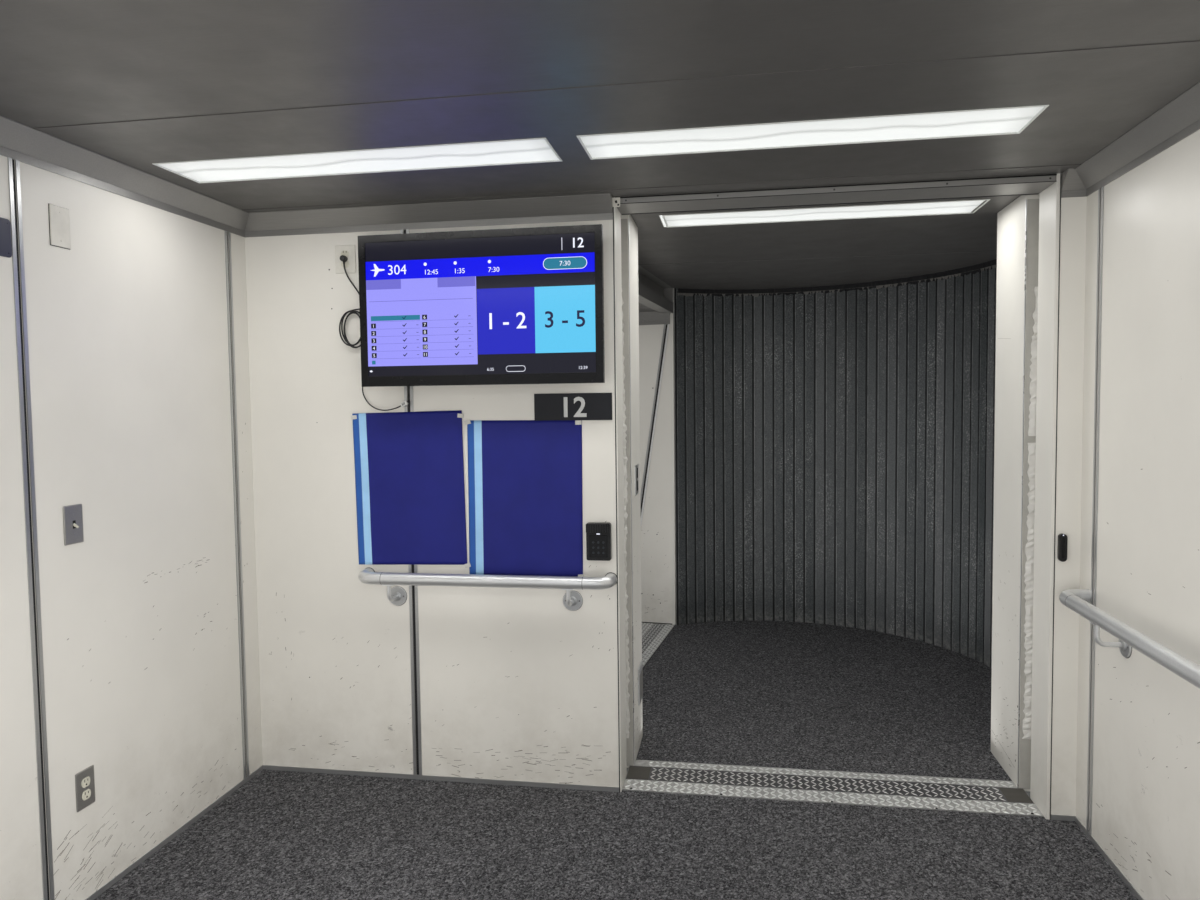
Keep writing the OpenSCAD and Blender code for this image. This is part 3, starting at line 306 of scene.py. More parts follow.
def lens_finish(name):
    """A lit prismatic sheet with a grey wave along its middle and dimmer ends."""
    f = Finish(name)
    prism = f.cells(260)
    f.place = f.add("ShaderNodeTexCoord").outputs["Generated"]
    u, v = f.axis(0), f.axis(1)
    sway = f.span(f.noise(4.5, 1, 0.4, f.scaled(1, 0, 0)), 0.3, 0.7, 0.38, 0.58)
    away = f.math("ABSOLUTE", f.math("SUBTRACT", v, sway), 0.0)
    glow = f.times(f.span(away, 0.0, 0.10, 0.60, 1.0), f.span(v, 0.0, 0.55, 0.80, 1.0))
    ends = f.math("MINIMUM", f.span(u, 0.0, 0.05, 0.70, 1.0), f.span(u, 0.95, 1.0, 1.0, 0.70))
    glow = f.times(f.times(glow, ends), f.span(prism, 0, 0.7, 1.04, 0.93))
    f.put(Base_Color=(0.42, 0.43, 0.42), Roughness=0.5, Emission_Color=(0.97, 1.0, 0.985))
    f.put(Emission_Strength=f.times(glow, 0.78))
    return f.bump(prism, 0.2, 0.0006).material


def printed(name, colour):
    """A satin printed sheet with faint wear."""
    f = Finish(name)
    base = f.mix(f.span(f.noise(6, 5, 0.6), 0.4, 0.7), colour, tuple(c * 0.85 for c in colour))
    f.put(Base_Color=base, Roughness=f.span(f.noise(9, 4), 0.3, 0.7, 0.40, 0.55), Specular_IOR_Level=0.25)
    return f.bump(f.noise(60, 3), 0.05, 0.0004).material


def outer_paint(name, colour):
    f = Finish(name)
    streaks = f.span(f.noise(3.5, 6, 0.65, f.scaled(5, 5, 0.5)), 0.45, 0.75)
    base = f.mix(f.times(streaks, 0.25), colour, (0.36, 0.35, 0.33))
    f.put(Base_Color=base, Roughness=0.5)
    return f.bump(f.noise(120, 3), 0.1, 0.0005).material


def glow(name, colour, strength=1.0, rough=0.14):
    """A part of the lit screen."""
    f = Finish(name)
    dots = f.span(f.noise(900, 1), 0.3, 0.7, 0.96, 1.04)
    f.put(Base_Color=(0.006, 0.006, 0.006), Roughness=rough, Specular_IOR_Level=0.22, Emission_Color=colour)
    f.put(Emission_Strength=f.times(dots, strength))
    return f.material


MATERIALS = {}


def finish(make, name, *values, **more):
    MATERIALS[name] = make(name, *values, **more)


finish(scuffed_paint, "panel_white", (0.745, 0.725, 0.675))
finish(scuffed_paint, "frame_white", (0.72, 0.705, 0.66), 0.6)
finish(satin_metal, "ceiling_grey", (0.128, 0.124, 0.120), 0.42, 0.35)
finish(satin_metal, "cove_grey", (0.30, 0.295, 0.285), 0.4, 0.5)
finish(plain, "gasket_black", (0.012, 0.012, 0.014), 0.6)
finish(satin_metal, "strip_alu", (0.50, 0.505, 0.51), 0.34, 0.8)
finish(carpet_pile, "carpet")
finish(tread_metal, "tread_plate")
finish(galvanised, "curtain_steel")
finish(satin_metal, "rail_alu", (0.78, 0.79, 0.80), 0.38, 0.78)
finish(plain, "light_tray", (0.80, 0.82, 0.80), 0.4)
finish(lens_finish, "light_lens")
finish(plain, "frame_steel", (0.16, 0.165, 0.17), 0.5)
finish(plain, "deck_steel", (0.25, 0.255, 0.26), 0.55)
finish(outer_paint, "outer_grey", (0.60, 0.615, 0.62))
finish(plain, "screen", (0.006, 0.006, 0.007), 0.22, bump=0.02, gloss=0.22)
finish(printed, "poster_blue", (0.014, 0.018, 0.185))
finish(plain, "sign_black", (0.015, 0.016, 0.020), 0.4, gloss=0.25)
finish(plain, "reader_black", (0.009, 0.009, 0.010), 0.32, gloss=0.3)
finish(satin_metal, "plate_metal", (0.42, 0.41, 0.39), 0.36, 0.8)
finish(plain, "cord_black", (0.010, 0.010, 0.011), 0.38)
finish(plain, "connector_white", (0.78, 0.78, 0.76), 0.4)
finish(plain, "ivory", (0.62, 0.60, 0.50), 0.36)
finish(plain, "plate_white", (0.70, 0.68, 0.62), 0.4)
finish(plain, "plate_navy", (0.018, 0.020, 0.050), 0.4)
finish(satin_metal, "screw_steel", (0.40, 0.40, 0.40), 0.32, 0.9)
finish(plain, "dark_hole", (0.006, 0.006, 0.006), 0.7)
finish(plain, "screen_off", (0.004, 0.004, 0.005), 0.12, bump=0.0, gloss=0.25)
finish(glow, "ui_black", (0.006, 0.006, 0.016))
finish(glow, "ui_blue", (0.002, 0.004, 0.86))
finish(glow, "ui_deep", (0.012, 0.016, 0.52))
finish(glow, "ui_cyan", (0.11, 0.58, 0.90))
finish(glow, "ui_lilac", (0.33, 0.32, 0.98))
finish(glow, "ui_violet", (0.17, 0.16, 0.66))
finish(glow, "ui_teal", (0.02, 0.20, 0.32))
finish(glow, "ui_line", (0.13, 0.12, 0.52))
finish(glow, "ui_ink", (0.010, 0.012, 0.060))
finish(glow, "ui_white", (0.85, 0.87, 1.0), 1.1)
finish(printed, "poster_mid", (0.030, 0.115, 0.42))
finish(printed, "poster_pale", (0.36, 0.62, 0.90))
finish(plain, "tape", (0.62, 0.61, 0.57), 0.28, bump=0.05)
finish(plain, "sign_white", (0.62, 0.63, 0.62), 0.45)
finish(glow, "ui_dim", (0.07, 0.085, 0.10), 0.25, 0.35)
finish(satin_metal, "strip_bright", (0.68, 0.69, 0.70), 0.30, 0.7)
finish(satin_metal, "strike_metal", (0.48, 0.48, 0.47), 0.34, 0.8)
finish(plain, "rail_dark", (0.16, 0.16, 0.165), 0.45)
finish(satin_metal, "flange_metal", (0.50, 0.51, 0.52), 0.36, 0.75)
finish(satin_metal, "lip_bright", (0.74, 0.745, 0.74), 0.4, 0.2)
finish(plain, "screw_dark", (0.10, 0.10, 0.10), 0.4, 0.5)
finish(satin_metal, "tread_bright", (0.80, 0.81, 0.80), 0.34, 0.45, (40, 40, 40))
finish(satin_metal, "tread_dark", (0.13, 0.13, 0.135), 0.42, 0.6, (60, 6, 60))
finish(satin_metal, "tread_mid", (0.36, 0.36, 0.355), 0.45, 0.5, (40, 40, 40))
finish(plain, "tread_worn", (0.085, 0.079, 0.070), 0.6, bump=0.3, scale=90)
finish(plain, "tape_white", (0.72, 0.71, 0.68), 0.38, bump=0.5, scale=120)
# Grey of the sheets on the jambs' steps: painted shade of the recess
finish(plain, "step_shade_grey", (0.43, 0.42, 0.39), 0.55)
finish(plain, "scuff", (0.17, 0.15, 0.12), 0.6)
finish(plain, "fray", (0.17, 0.165, 0.155), 0.8)
finish(satin_metal, "header_alu", (0.36, 0.355, 0.345), 0.4, 0.55)


def dress_nodes():
    for part in frame["record"]["subparts"]:
        mesh = NODES[part["node"]].data
        mesh.materials.clear()
        mesh.materials.append(MATERIALS[part["material_slot"]])


LIGHT_SIZE = (1.275, 0.236)
LIGHT_POWER = 6.2
LIGHT_Z = 2.272
LIGHT_CENTRES = [(0.7835, -0.615), (2.1495, -0.615), (0.7835, -2.583), (2.1495, -2.583), (2.3015, 0.456)]


# Sizes read from the CAD nodes, from the left wall, the front wall and the carpet
VEST_W = WALL_X1 - WALL_X0
CEIL_H = CEILING - FLOOR
DOOR_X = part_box("door_sill")[0].x - WALL_X0 - 0.0005
DOOR_X1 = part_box("door_sill")[1].x - WALL_X0 + 0.0005
TUNNEL_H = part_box("tunnel_ceiling")[0].z - FLOOR
# As in part.scad: the tunnel's direction, its mouth's distance from the axis, its half width and the
# slanted gasket on its far wall
SWING = math.radians(173.3)
PORTAL_U = 0.777
TUNNEL_HALF = 0.938
GASKET_LEAN = math.radians(8.6)
GASKET_U = PORTAL_U + 0.043
GASKET_TOP = TUNNEL_H - 0.083

AXIS_X = Vector((1, 0, 0))
AXIS_Y = Vector((0, 1, 0))
AXIS_Z = Vector((0, 0, 1))


def face(origin, u, v):
    """Axes u and v on a face, with the third one out of it."""
    return Matrix.Translation(origin) @ Matrix((u, v, u.cross(v))).transposed().to_4x4()


ON_FRONT = face(at(0, 0, 0), AXIS_X, AXIS_Z)
ON_LEFT = face(at(0, 0, 0), AXIS_Y, AXIS_Z)
ON_RIGHT = face(at(VEST_W, 0, 0), -AXIS_Y, AXIS_Z)
# How far the jambs' rear parts stand into the opening, and how far back they begin
REAR_IN = 0.020
REAR_Y = 0.237
ON_LEFT_REAR = face(at(DOOR_X + REAR_IN, 0, 0), AXIS_Y, AXIS_Z)
ON_RIGHT_REAR = face(at(DOOR_X1 - REAR_IN, 0, 0), -AXIS_Y, AXIS_Z)
# Where the seal over the curtain begins and ends round the axis, in degrees
CURTAIN_FROM = -45.0
CURTAIN_TO = 121.5
ON_CEILING = face(at(0, 0, CEIL_H), AXIS_X, -AXIS_Y)
IN_TUNNEL = Matrix.Rotation(SWING, 4, "Z") @ Matrix.Translation((0, 0, FLOOR))


def add_piece(name, data, material):
    piece = bpy.data.objects.new(name, data)
    bpy.context.scene.collection.objects.link(piece)
    if material:
        data.materials.append(MATERIALS[material])
    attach(piece, "root")
    return piece

def mesh_piece(name, bm, material, smooth=False, turned=True):
    """A piece with the faces that bm holds, all turned outwards unless they are already."""
    if turned:
        bmesh.ops.recalc_face_normals(bm, faces=bm.faces)
    for part in bm.faces:
        part.smooth = smooth
    mesh = bpy.data.meshes.new(name)
    bm.to_mesh(mesh)
    bm.free()
    return add_piece(name, mesh, material)


def round_box(u, v, width, height, radius, steps=5):
    """Outline of a rectangle with round corners, anticlockwise from its lower right."""
    points = []
    for i, (cu, cv) in enumerate(((1, 0), (1, 1), (0, 1), (0, 0))):
        centre = (u + (width - radius if cu else radius), v + (height - radius if cv else radius))
        for k in range(steps + 1):
            angle = math.radians(-90 + 90 * i + 90 * k / steps)
            points.append((centre[0] + radius * math.cos(angle), centre[1] + radius * math.sin(angle)))
    return points


class Form:
    """A piece's mesh, built along the axes of the face that it sits on."""

    def __init__(self, place):
        self.place = place
        self.bm = bmesh.new()

    def box(self, low, high, turn=0.0):
        made = bmesh.ops.create_cube(self.bm, size=1)["verts"]
        middle = [(a + b) / 2 for a, b in zip(low, high)]
        size = [abs(b - a) for a, b in zip(low, high)]
        shape = Matrix.Translation(middle) @ Matrix.Rotation(turn, 4, "Z") @ Matrix.Diagonal((*size, 1))
        bmesh.ops.transform(self.bm, matrix=self.place @ shape, verts=made)
        return self

    def disc(self, centre, radius, low, high, top=None, segments=24):
        made = bmesh.ops.create_cone(self.bm, cap_ends=True, segments=segments, radius1=radius,
                                     radius2=radius if top is None else top, depth=high - low)["verts"]
        shape = Matrix.Translation((*centre, (low + high) / 2))
        bmesh.ops.transform(self.bm, matrix=self.place @ shape, verts=made)
        return self

    def rod(self, start, end, radius, end_radius=None, segments=16):
        start, end = Vector(start), Vector(end)
        made = bmesh.ops.create_cone(self.bm, cap_ends=True, segments=segments, radius1=radius,
                                     radius2=radius if end_radius is None else end_radius,
                                     depth=(end - start).length)["verts"]
        turn = (end - start).to_track_quat("Z", "Y").to_matrix().to_4x4()
        shape = Matrix.Translation((start + end) / 2) @ turn
        bmesh.ops.transform(self.bm, matrix=self.place @ shape, verts=made)
        return self

    def prism(self, outline, low, high):
        rings = [[self.bm.verts.new(self.place @ Vector((u, v, w))) for u, v in outline] for w in (low, high)]
        self.bm.faces.new(list(reversed(rings[0])))
        self.bm.faces.new(rings[1])
        count = len(outline)
        for k in range(count):
            j = (k + 1) % count
            self.bm.faces.new((rings[0][k], rings[0][j], rings[1][j], rings[1][k]))
        return self

    def screws(self, places, radius=0.004, low=0.0, proud=0.0012):
        for k, (u, v) in enumerate(places):
            self.disc((u, v), radius, low - 0.001, low + proud, radius * 0.72, 16)
            slot = 0.5 + 0.9 * k
            self.box((u - radius * 0.75, v - radius * 0.12, low + proud - 0.0001),
                     (u + radius * 0.75, v + radius * 0.12, low + proud + 0.0002), slot)
        return self

    def done(self, name, material, bevel=0.0):
        piece = mesh_piece(name, self.bm, material)
        if bevel:
            edge = piece.modifiers.new("edge", "BEVEL")
            edge.width = bevel
            edge.segments = 2
            edge.limit_method = "ANGLE"
        return piece


def in_metres(*points):
    return [tuple(number / 1000 for number in point) for point in points]


SCREEN_ROUTE_A = in_metres(
    (433, -17, 2086), (433, -17, 2074), (435, -17, 2061), (439, -16, 2046), (446, -15, 2029),
    (455, -13, 2012), (466, -11, 1996), (477, -9, 1980), (487, -7, 1964), (496, -6, 1948),
    (503, -5, 1931), (507, -4, 1914))
SCREEN_ROUTE_B = in_metres(
    (499, -32, 1896), (512, -32, 1897), (526, -33, 1897), (542, -34, 1897), (560, -34, 1895),
    (578, -33, 1892), (596, -32, 1889), (612, -32, 1886), (626, -34, 1884), (636, -40, 1882),
    (640, -50, 1881), (641, -59.7, 1880))
LOOP_ROUTE_A = in_metres(
    (598, -59.7, 1684), (596, -49, 1680), (590, -39, 1673), (579, -32, 1664), (565, -29, 1654),
    (550, -28, 1644), (536, -28, 1634), (523, -28, 1623), (511, -28, 1610), (504, -28, 1596),
    (502, -28, 1581), (504, -28, 1565), (510, -28, 1549), (519, -28, 1534), (531, -28, 1520),
    (546, -28, 1509), (563, -28, 1501), (582, -28, 1497), (601, -28, 1496), (619, -28, 1499),
    (636, -28, 1503), (650, -28, 1508), (663, -28, 1514))
LOOP_ROUTE_B = in_metres(
    (688, -28, 1528), (695, -29, 1534), (699, -31, 1544), (700, -34, 1556), (700, -38, 1569),
    (700, -44, 1582), (700, -52, 1594), (700, -62, 1605), (700, -71, 1616), (700, -75, 1627.7))
HANK_CENTRE = (0.470, 1.820)
HANK_START = math.radians(32)
HANK_SWEEP = math.radians(-1382)
HANK_POINTS = 62


def hank_turns():
    """The coil's points, clockwise from its right side and outwards from the wall."""
    points = []
    for i in range(HANK_POINTS):
        part = i / (HANK_POINTS - 1)
        angle = HANK_START + HANK_SWEEP * part
        turns = part * abs(HANK_SWEEP) / (2 * math.pi)
        width = 0.0455 + 0.004 * math.sin(2.1 * turns + 0.4)
        height = 0.0715 + 0.0045 * math.cos(1.3 * turns)
        x = HANK_CENTRE[0] - 0.003 + 0.0055 * math.sin(1.25 * turns + 0.8) + width * math.cos(angle)
        z = HANK_CENTRE[1] + 0.004 * math.cos(2.2 * turns) + height * math.sin(angle)
        points.append((x, -0.0055 - 0.0262 * part, z))
    return points


def cord_curve(name, points, diameter, material):
    """A cord on one open spline through points given from the left wall, the front wall and the carpet."""
    data = bpy.data.curves.new(name, "CURVE")
    data.dimensions = "3D"
    data.bevel_depth = diameter / 2
    data.bevel_resolution = 3
    data.resolution_u = 4
    data.use_fill_caps = True
    spline = data.splines.new("NURBS")
    spline.points.add(len(points) - 1)
    for knot, place in zip(spline.points, points):
        knot.co = (*at(*place), 1)
    spline.order_u = 4
    spline.use_endpoint_u = True
    return add_piece(name, data, material)


def make_cords():
    plug = Form(ON_FRONT)
    plug.disc((0.433, 2.098), 0.0112, 0.0295, 0.031, 0.0085, 32)
    for i in range(12):
        turn = i * math.tau / 12
        ridge = (0.433 + 0.0111 * math.cos(turn), 2.098 + 0.0111 * math.sin(turn))
        plug.disc(ridge, 0.0012, 0.008, 0.027, segments=8)
    for k in range(4):
        plug.rod((0.433, 2.0868 - 0.0026 * k, 0.017), (0.433, 2.0853 - 0.0026 * k, 0.017), 0.0046 - 0.0003 * k)
    plug_grip = plug.done("plug_grip", "cord_black")
    route = (SCREEN_ROUTE_A + [(0.510, -0.004, 1.899), (0.5115, -0.005, 1.882)] + hank_turns()
             + [(0.482, -0.032, 1.894)] + SCREEN_ROUTE_B)
    cord = cord_curve("screen_lead", route, 0.006, "cord_black")
    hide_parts("screen_cord", "cord_hank")

    # The white connector and the cord that sags under the monitor
    tilt = Matrix.Rotation(math.radians(30), 4, "Z")
    block = Form(ON_FRONT @ Matrix.Translation((0.6755, 1.521, 0.028)) @ tilt)
    block.box((-0.014, -0.008, -0.006), (0.014, 0.008, 0.006))
    for k in range(4):
        block.box((-0.010 + 0.005 * k, -0.0086, -0.0052), (-0.0075 + 0.005 * k, 0.0086, 0.0066))
    connector = block.done("lead_connector", "connector_white", 0.0008)
    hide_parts("loop_connector")
    slots = Form(ON_FRONT @ Matrix.Translation((0.6755, 1.521, 0.028)) @ tilt)
    for k in range(3):
        slots.box((-0.0072 + 0.005 * k, -0.005, 0.0052), (-0.0053 + 0.005 * k, 0.005, 0.0068))
    connector_slots = slots.done("lead_connector_slots", "reader_black")
    boot = Form(ON_FRONT)
    boot.rod((0.700, 1.6075, 0.0645), (0.700, 1.6275, 0.0752), 0.0036, 0.0062)
    lead_boot = boot.done("lead_boot", "cord_black")
    loop = cord_curve("loop_lead", LOOP_ROUTE_A + LOOP_ROUTE_B, 0.005, "cord_black")
    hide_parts("loop_cord")


# The monitor's screen, with places on it given from its upper left corner, as parts of its width and height
MONITOR_LOW, MONITOR_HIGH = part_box("monitor")
BEZEL = 0.028
CHIN = 0.039
SCREEN_X = MONITOR_LOW.x - WALL_X0 + BEZEL
SCREEN_W = MONITOR_HIGH.x - MONITOR_LOW.x - 2 * BEZEL
SCREEN_Z = MONITOR_LOW.z - FLOOR + CHIN
SCREEN_H = MONITOR_HIGH.z - MONITOR_LOW.z - BEZEL - CHIN
SCREEN_OUT = FRONT_Y - MONITOR_LOW.y - 0.003


class Screen:
    """Collects the flat shapes of one colour on the monitor's screen."""

    def __init__(self, name, colour, layer):
        self.name = name
        self.colour = colour
        self.form = Form(ON_FRONT)
        self.low = SCREEN_OUT + 0.0002 * layer

    def spot(self, u, v):
        return SCREEN_X + u * SCREEN_W, SCREEN_Z + (1 - v) * SCREEN_H

    def rect(self, u0, v0, u1, v1):
        x0, z0 = self.spot(u0, v1)
        x1, z1 = self.spot(u1, v0)
        self.form.box((x0, z0, self.low), (x1, z1, self.low + 0.0002))
        return self

    def pill(self, u0, v0, u1, v1):
        x0, z0 = self.spot(u0, v1)
        x1, z1 = self.spot(u1, v0)
        outline = round_box(x0, z0, x1 - x0, z1 - z0, (z1 - z0) / 2 - 0.0001, 8)
        self.form.prism(outline, self.low, self.low + 0.0002)
        return self

    def poly(self, points):
        self.form.prism([self.spot(u, v) for u, v in points], self.low, self.low + 0.0002)
        return self

    def done(self):
        return self.form.done(self.name, self.colour)


def number(name, text, place, size, material, depth=0.0002, spread=1.0, align="CENTER"):
    """A plain number that stands on a face."""
    data = bpy.data.curves.new(name, "FONT")
    data.body = text
    data.size = size
    data.space_character = spread
    data.align_x = align
    data.extrude = depth
    data.resolution_u = 3
    piece = add_piece(name, data, material)
    piece.matrix_world = place
    return piece


def screen_number(name, text, u, v, height, material, align="CENTER", bold=0.0):
    """A number on the screen; its height is a part of the screen's, and (u, v) the foot of it."""
    x, z = Screen(name, material, 0).spot(u, v)
    piece = number(name, text, ON_FRONT @ Matrix.Translation((x, z, SCREEN_OUT + 0.0012)),
                   height * SCREEN_H / 0.7, material, align=align)
    piece.data.offset = bold
    return piece


def make_screen():
    base = Form(ON_FRONT)
    base.box((SCREEN_X, SCREEN_Z, SCREEN_OUT - 0.0005),
             (SCREEN_X + SCREEN_W, SCREEN_Z + SCREEN_H, SCREEN_OUT + 0.0001))
    base.done("screen_glass", "ui_black")
    Screen("screen_bar", "ui_blue", 1).rect(0, 0.14, 1, 0.278).done()
    Screen("screen_panel", "ui_lilac", 1).rect(0, 0.278, 0.492, 0.925).done()
    Screen("screen_tabs", "ui_violet", 2).rect(0, 0.278, 0.158, 0.350).rect(0.322, 0.278, 0.488, 0.350).done()
    Screen("screen_block_left", "ui_deep", 1).rect(0.494, 0.372, 0.744, 0.853).done()
    Screen("screen_block_right", "ui_cyan", 1).rect(0.744, 0.372, 1, 0.853).done()
    outline = Screen("screen_pill_edge", "ui_white", 2)
    outline.pill(0.782, 0.166, 0.968, 0.252).pill(0.615, 0.940, 0.700, 0.985)
    outline.rect(0.862, 0.025, 0.8645, 0.115)
    # A small aircraft and the marks beside the times
    outline.poly([(0.020, 0.205), (0.042, 0.198), (0.036, 0.158), (0.044, 0.158), (0.060, 0.196),
                  (0.082, 0.199), (0.088, 0.205), (0.082, 0.211), (0.060, 0.214), (0.044, 0.252),
                  (0.036, 0.252), (0.042, 0.212)])
    for u in (0.262, 0.395, 0.545):
        outline.pill(u, 0.163, u + 0.014, 0.188)
    outline.poly([(0.005, 0.962), (0.013, 0.953), (0.021, 0.962), (0.013, 0.971)])
    outline.done()
    fill = Screen("screen_pill", "ui_teal", 3).pill(0.7845, 0.170, 0.9655, 0.248)
    fill.rect(0.018, 0.548, 0.240, 0.584).rect(0.018, 0.882, 0.034, 0.910).done()
    Screen("screen_pill_dark", "ui_black", 3).pill(0.617, 0.944, 0.698, 0.981).done()
    lines = Screen("screen_rules", "ui_line", 2).rect(0.012, 0.438, 0.476, 0.441)
    for row in range(6):
        v = 0.590 + 0.0555 * row
        lines.rect(0.018, v, 0.240, v + 0.0018).rect(0.250, v, 0.476, v + 0.0018)
    lines.done()
    ink = Screen("screen_squares", "ui_black", 3)
    marks = Screen("screen_marks", "ui_ink", 3)
    for row in range(6):
        v = 0.548 + 0.0555 * row
        for side, (u, tick) in enumerate(((0.018, 0.160), (0.250, 0.392))):
            if row or side:
                ink.rect(u, v, u + 0.022, v + 0.036)
            marks.poly([(tick, v + 0.018), (tick + 0.003, v + 0.013), (tick + 0.007, v + 0.021),
                        (tick + 0.018, v + 0.003), (tick + 0.020, v + 0.006), (tick + 0.008, v + 0.031)])
            if row or side:
                marks.rect(tick + 0.063, v + 0.017, tick + 0.073, v + 0.020)
    ink.done()
    marks.done()
    for row in range(6):
        v = 0.578 + 0.0555 * row
        if row:
            screen_number(f"row_{row}", str(row), 0.029, v, 0.024, "ui_white")
        screen_number(f"row_{row + 6}", str(row + 6), 0.261, v, 0.024, "ui_white")
    screen_number("gate_number", "12", 0.928, 0.100, 0.070, "ui_white", bold=0.0006)
    screen_number("trip_number", "304", 0.098, 0.243, 0.072, "ui_white", "LEFT")
    for name, text, u in (("time_a", "12:45", 0.262), ("time_b", "1:35", 0.395), ("time_c", "7:30", 0.545)):
        screen_number(name, text, u, 0.252, 0.036, "ui_white", "LEFT")
    screen_number("time_on_pill", "7:30", 0.875, 0.226, 0.034, "ui_white")
    screen_number("groups_left", "1 - 2", 0.619, 0.668, 0.118, "ui_white", bold=0.0007)
    screen_number("groups_right", "3 - 5", 0.872, 0.668, 0.118, "ui_ink", bold=0.0007)
    screen_number("foot_time", "6:35", 0.548, 0.975, 0.022, "ui_white")
    screen_number("foot_clock", "12:39", 0.945, 0.975, 0.022, "ui_white")


def make_monitor():
    low_x = MONITOR_LOW.x - WALL_X0
    low_z = MONITOR_LOW.z - FLOOR
    wide, tall = SCREEN_W + 2 * BEZEL, SCREEN_H + BEZEL + CHIN
    lip = Form(ON_FRONT)
    inner = 0.0035
    out = SCREEN_OUT + 0.0031
    # A fine step round the screen
    lip.box((SCREEN_X - inner, SCREEN_Z - inner, out - 0.001), (SCREEN_X + SCREEN_W + inner, SCREEN_Z, out))
    lip.box((SCREEN_X - inner, SCREEN_Z + SCREEN_H, out - 0.001),
            (SCREEN_X + SCREEN_W + inner, SCREEN_Z + SCREEN_H + inner, out))
    for x in (SCREEN_X - inner, SCREEN_X + SCREEN_W):
        lip.box((x, SCREEN_Z, out - 0.001), (x + inner, SCREEN_Z + SCREEN_H, out))
    lip.done("monitor_lip", "screen_off", 0.0004)
    back = Form(ON_FRONT)
    for k in range(14):
        z = low_z + tall - 0.075 - 0.009 * k
        back.box((low_x + 0.12, z, 0.0592), (low_x + 0.34, z + 0.003, 0.0606))
        back.box((low_x + wide - 0.34, z, 0.0592), (low_x + wide - 0.12, z + 0.003, 0.0606))
    back.done("monitor_vents", "dark_hole")
    keys = Form(ON_FRONT)
    for k in range(5):
        z = low_z + 0.10 + 0.030 * k
        keys.box((low_x + wide - 0.0002, z, 0.106), (low_x + wide + 0.0015, z + 0.012, 0.112))
    keys.done("monitor_keys", "screw_steel", 0.0004)
    lamp = Form(ON_FRONT).box((low_x + wide / 2 - 0.006, low_z + 0.006, SCREEN_OUT + 0.003),
                              (low_x + wide / 2 + 0.006, low_z + 0.010, SCREEN_OUT + 0.0034))
    lamp.done("monitor_lamp", "screen_off")
    bolts = Form(ON_FRONT)
    centre = (low_x + wide / 2, low_z + tall / 2)
    for dx in (-0.135, 0.135):
        for dz in (-0.12, 0.0, 0.12):
            bolts.disc((centre[0] + dx * 0.999, centre[1] + dz), 0.006, 0.0035, 0.0075, 0.005, 6)
    bolts.done("monitor_bolts", "screw_steel")


POSTER_W = 0.457
POSTER_H = 0.610


def poster(name, corner, tilt, seat, phase):
    """A printed sheet with two stripes, slightly waved, on the plane at seat from the wall."""
    turn = ON_FRONT @ Matrix.Translation((*corner, 0)) @ Matrix.Rotation(math.radians(tilt), 4, "Z")
    columns = [0, 0.009, 0.018, 0.027, 0.037, 0.047, 0.058]
    columns += [0.058 + (POSTER_W - 0.058) * k / 30 for k in range(1, 31)]
    rows = [POSTER_H * k / 44 for k in range(45)]
    bm = bmesh.new()
    layers = []
    for depth in (0.0, 0.0004):
        grid = []
        for z in rows:
            line = []
            for x in columns:
                u, v = x / POSTER_W, z / POSTER_H
                swell = 0.0011 * math.sin(3.1 * math.pi * u + phase) * math.sin(2.3 * math.pi * v + phase)
                crease = 0.0008 * math.exp(-((v - 0.52 - 0.02 * u) / 0.012) ** 2) * (0.3 + 0.7 * u)
                curl = 0.0030 * max(0.0, u - 0.93) / 0.07 * (0.4 + 0.6 * math.sin(5 * v + phase) ** 2)
                out = seat + 0.0014 + swell + crease + curl * 0.5 + depth
                line.append(bm.verts.new(turn @ Vector((x, z, out))))
            grid.append(line)
        layers.append(grid)
    back, front = layers
    count_x, count_z = len(columns), len(rows)
    for j in range(count_z - 1):
        for i in range(count_x - 1):
            bit = bm.faces.new((front[j][i], front[j][i + 1], front[j + 1][i + 1], front[j + 1][i]))
            bit.material_index = 1 if i < 3 else 2 if i < 6 else 0
            bm.faces.new((back[j][i], back[j + 1][i], back[j + 1][i + 1], back[j][i + 1]))
    for j in range(count_z - 1):
        bm.faces.new((front[j][0], front[j + 1][0], back[j + 1][0], back[j][0]))
        bm.faces.new((front[j][-1], back[j][-1], back[j + 1][-1], front[j + 1][-1]))
    for i in range(count_x - 1):
        bm.faces.new((front[0][i], back[0][i], back[0][i + 1], front[0][i + 1]))
        bm.faces.new((front[-1][i], front[-1][i + 1], back[-1][i + 1], back[-1][i]))
    sheet = mesh_piece(name, bm, "poster_blue", smooth=True, turned=False)
    for stripe in ("poster_mid", "poster_pale"):
        sheet.data.materials.append(MATERIALS[stripe])
    return sheet


def make_posters():
    left = poster("poster_left", (0.456, 0.875), 1.0, 0.003, 0.4)
    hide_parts("posters")
    poster("poster_right", (0.920, 0.843), -0.3, 0.0, 1.7)
    bits = Form(ON_FRONT)
    for x, z, turn in ((0.452, 1.470, 0.1), (0.897, 1.472, -0.1), (0.925, 1.446, 0.2), (1.367, 1.441, 0.0),
                       (0.913, 0.880, 0.3), (1.370, 0.845, 0.1)):
        bits.box((x - 0.012, z - 0.008, 0.0005), (x + 0.012, z + 0.008, 0.0063), turn)
    bits.done("poster_tape", "tape")


def make_sign():
    low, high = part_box("sign_plate")
    x, z = (low.x + high.x) / 2 - WALL_X0, low.z - FLOOR
    tall = high.z - low.z
    size = tall * 0.72 / 0.7
    place = ON_FRONT @ Matrix.Translation((x, z + tall * 0.14, 0.0063))
    number("sign_number", "12", place, size, "sign_white", 0.0003, 1.06).data.offset = 0.0022
    edge = Form(ON_FRONT)
    edge.box((low.x - WALL_X0 - 0.0004, z - 0.0004, 0.0004),
             (high.x - WALL_X0 + 0.0004, z + tall + 0.0004, 0.0052))
    edge.done("sign_edge", "sign_black", 0.001)


